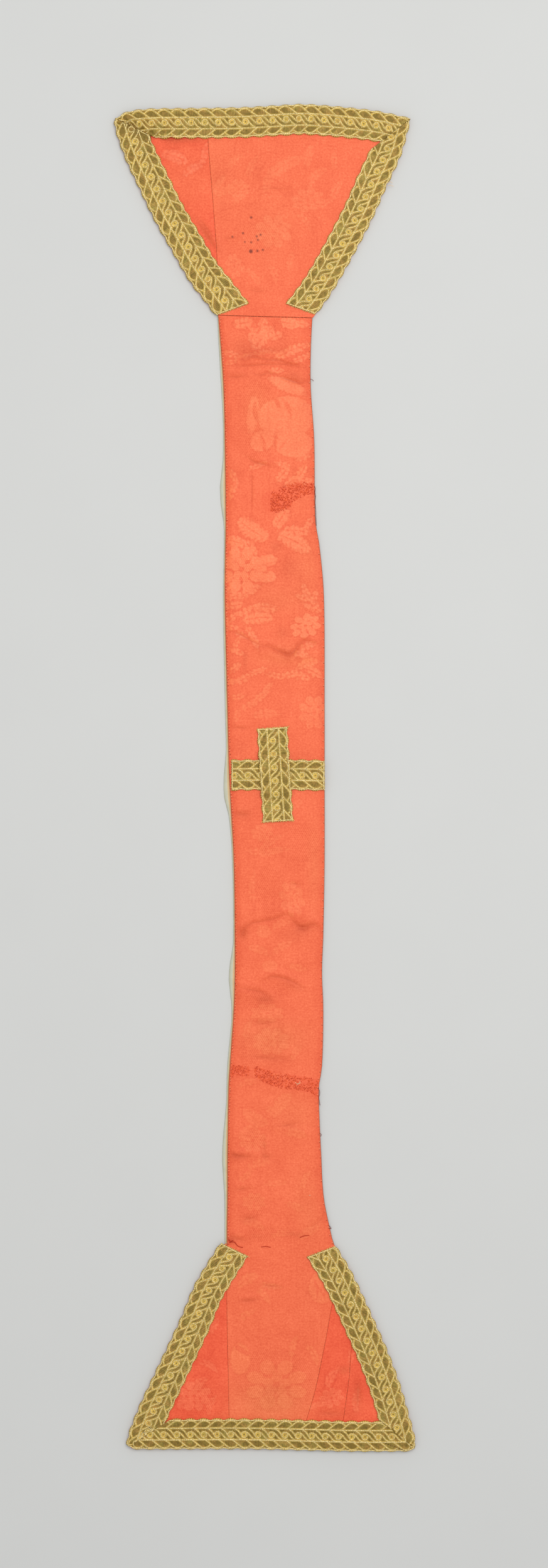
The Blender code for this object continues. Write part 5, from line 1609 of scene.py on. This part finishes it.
    def frayed_ends(self, rng, material):
        """Cut ends of the galloon's threads, which stand out past each free end of a strip."""
        lines = []
        for name, shape in STRIPS.items():
            path = strip_path(name)
            base = 4.0 if name == "cross_upright" else 3.3
            for cut in shape.cuts:
                if cut in MITRES:
                    continue
                start, run, out, length = path.cut_axes(cut)
                for at in np.arange(0.5, length - 0.3, 0.8):
                    root = start + run * (at + rng.normal(0.0, 0.2)) - out * 0.4
                    tip = root + out * (0.5 + rng.uniform(0.0, 0.6)) + run * rng.normal(0.0, 0.4)
                    middle = (root + tip) / 2 + run * rng.normal(0.0, 0.25)
                    lines.append(((*root, base), (*middle, base + 0.2), (*tip, base - 0.25)))
        add_threads("frayed_galloon_ends", lines, 0.16, material)

    def darns(self, rng, material):
        """Rows of darning over the mends, kept to the silk."""
        row, column = 1.15, 1.3
        found = []
        for line, tries in ((UPPER_DARN, 1200), (LOWER_DARN, 2100)):
            ys = [p[1] for p in line]
            x = rng.uniform(line[0][0] - 1.0, line[-1][0] + 1.0, tries)
            y = rng.uniform(min(ys) - 7.5, max(ys) + 7.5, tries)
            # The darning runs in rows, which hand work keeps only roughly
            y = row * np.round(y / row) + rng.normal(0.0, 0.22, tries)
            lean = y / (2 * row)
            x = column * (np.round(x / column + lean) - lean) + rng.normal(0.0, 0.25, tries)
            gap, half = darn_distance(line, x, y)
            inside = gap < half * rng.uniform(0.8, 1.05, tries)
            found.append((x[inside], y[inside]))
        x, y = (np.concatenate(part) for part in zip(*found))
        bands = [node_edges(name, SILK_UNDER) for name in BAND_NODES]
        lefts, rights = (np.concatenate([edges[k] for edges in bands]) for k in (0, 1))
        side = np.minimum(x - edge_at(lefts, y), edge_at(rights, y) - x)
        x, y, side = (values[side > 1.2] for values in (x, y, side))
        z = silk_height(x, y, side, side) + 0.02
        turns = 0.6 * np.sign(np.cos(pi * y / row)) + rng.normal(0.0, 0.4, len(y))
        spots = [(np.column_stack([x, y, z]), turns)]
        add_stitches(
            "darning_stitches", rng, spots, (0.9, 1.7), (0.4, 0.62), material, shade_power=1.2
        )


class STOLE_OT_stage(bpy.types.Operator):
    """Sets the pale floor, the soft light and the camera that looks straight down"""

    bl_idname = "stole.stage"
    bl_label = "Stage"

    def execute(self, context):
        look = context.scene.stole_stage
        scene = context.scene
        scene.view_settings.view_transform = "Standard"
        bpy.ops.object.select_all(action="DESELECT")
        bpy.ops.mesh.primitive_grid_add(x_subdivisions=8, y_subdivisions=8, size=6.0)
        floor = context.active_object
        floor.name = "floor"
        floor.data.materials.append(self.paper(look))
        world = scene.world or bpy.data.worlds.new("soft_room")
        scene.world = world
        world.use_nodes = True
        back = world.node_tree.nodes["Background"]
        back.inputs["Color"].default_value = linear("#FCFDFF")
        back.inputs["Strength"].default_value = look.world
        lamp = bpy.data.lights.new("soft_lamp", "AREA")
        lamp.energy = look.lamp
        lamp.shape = "DISK"
        lamp.size = 1.4
        lamp_object = bpy.data.objects.new("soft_lamp", lamp)
        lamp_object.location = (0.4, 0.5, 1.8)
        aim = -lamp_object.location
        lamp_object.rotation_euler = aim.to_track_quat("-Z", "Y").to_euler()
        scene.collection.objects.link(lamp_object)
        camera = bpy.data.cameras.new("camera")
        camera.lens = 72.0
        camera.sensor_width = 36.0
        camera_object = bpy.data.objects.new("camera", camera)
        camera_object.location = (5.9 * MM, -4.2 * MM, 2.2)
        scene.collection.objects.link(camera_object)
        scene.camera = camera_object
        return {"FINISHED"}

    def paper(self, look):
        """Matt paper: pale and even, with only a faint cloudiness."""
        material, tree, shader = new_material("pale_matt_paper")
        place = add_node(tree, "TexCoord", "Object")
        grain = add_node(tree, "TexNoise", inputs={"Vector": place, "Scale": 14.0, "Detail": 4.0})
        tone = add_node(tree, "Math", inputs={0: grain, 1: 0.03, 2: 0.985}, operation="MULTIPLY_ADD")
        colour = add_node(
            tree, "Mix", 2, {0: 1.0, 6: look.floor, 7: tone}, data_type="RGBA", blend_type="MULTIPLY"
        )
        tree.links.new(colour, shader.inputs["Base Color"])
        shader.inputs["Roughness"].default_value = 0.9
        shader.inputs["Specular IOR Level"].default_value = 0.1
        return material


class STOLE_PT_panel(bpy.types.Panel):
    """Lists the steps and their sizes and colours"""

    bl_idname = "STOLE_PT_panel"
    bl_label = "Stole"
    bl_space_type = "VIEW_3D"
    bl_region_type = "UI"
    bl_category = "Stole"

    def draw(self, context):
        for step in STEPS:
            self.layout.operator(step)
        for key, group in LOOKS.items():
            box = self.layout.box()
            box.label(text=group.__doc__)
            for name in group.__annotations__:
                box.prop(getattr(context.scene, key), name)


LOOKS = {
    "stole_silk": SilkLook,
    "stole_galloon": GalloonLook,
    "stole_stitches": StitchLook,
    "stole_stage": StageLook,
}
OPERATORS = (STOLE_OT_stage, STOLE_OT_lining, STOLE_OT_silk, STOLE_OT_galloon, STOLE_OT_stitches)
STEPS = tuple(operator.bl_idname for operator in OPERATORS)


def register():
    for group in LOOKS.values():
        bpy.utils.register_class(group)
    for key, group in LOOKS.items():
        setattr(bpy.types.Scene, key, PointerProperty(type=group))
    for item in OPERATORS + (STOLE_PT_panel,):
        bpy.utils.register_class(item)


def unregister():
    for item in reversed(OPERATORS + (STOLE_PT_panel,)):
        bpy.utils.unregister_class(item)
    for key in LOOKS:
        delattr(bpy.types.Scene, key)
    for group in reversed(list(LOOKS.values())):
        bpy.utils.unregister_class(group)


def main():
    register()
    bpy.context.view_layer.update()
    bpy.ops.stole.stage()
    bpy.ops.stole.lining()
    bpy.ops.stole.silk()
    bpy.ops.stole.galloon()
    bpy.ops.stole.stitches()


if __name__ == "__main__":
    main()
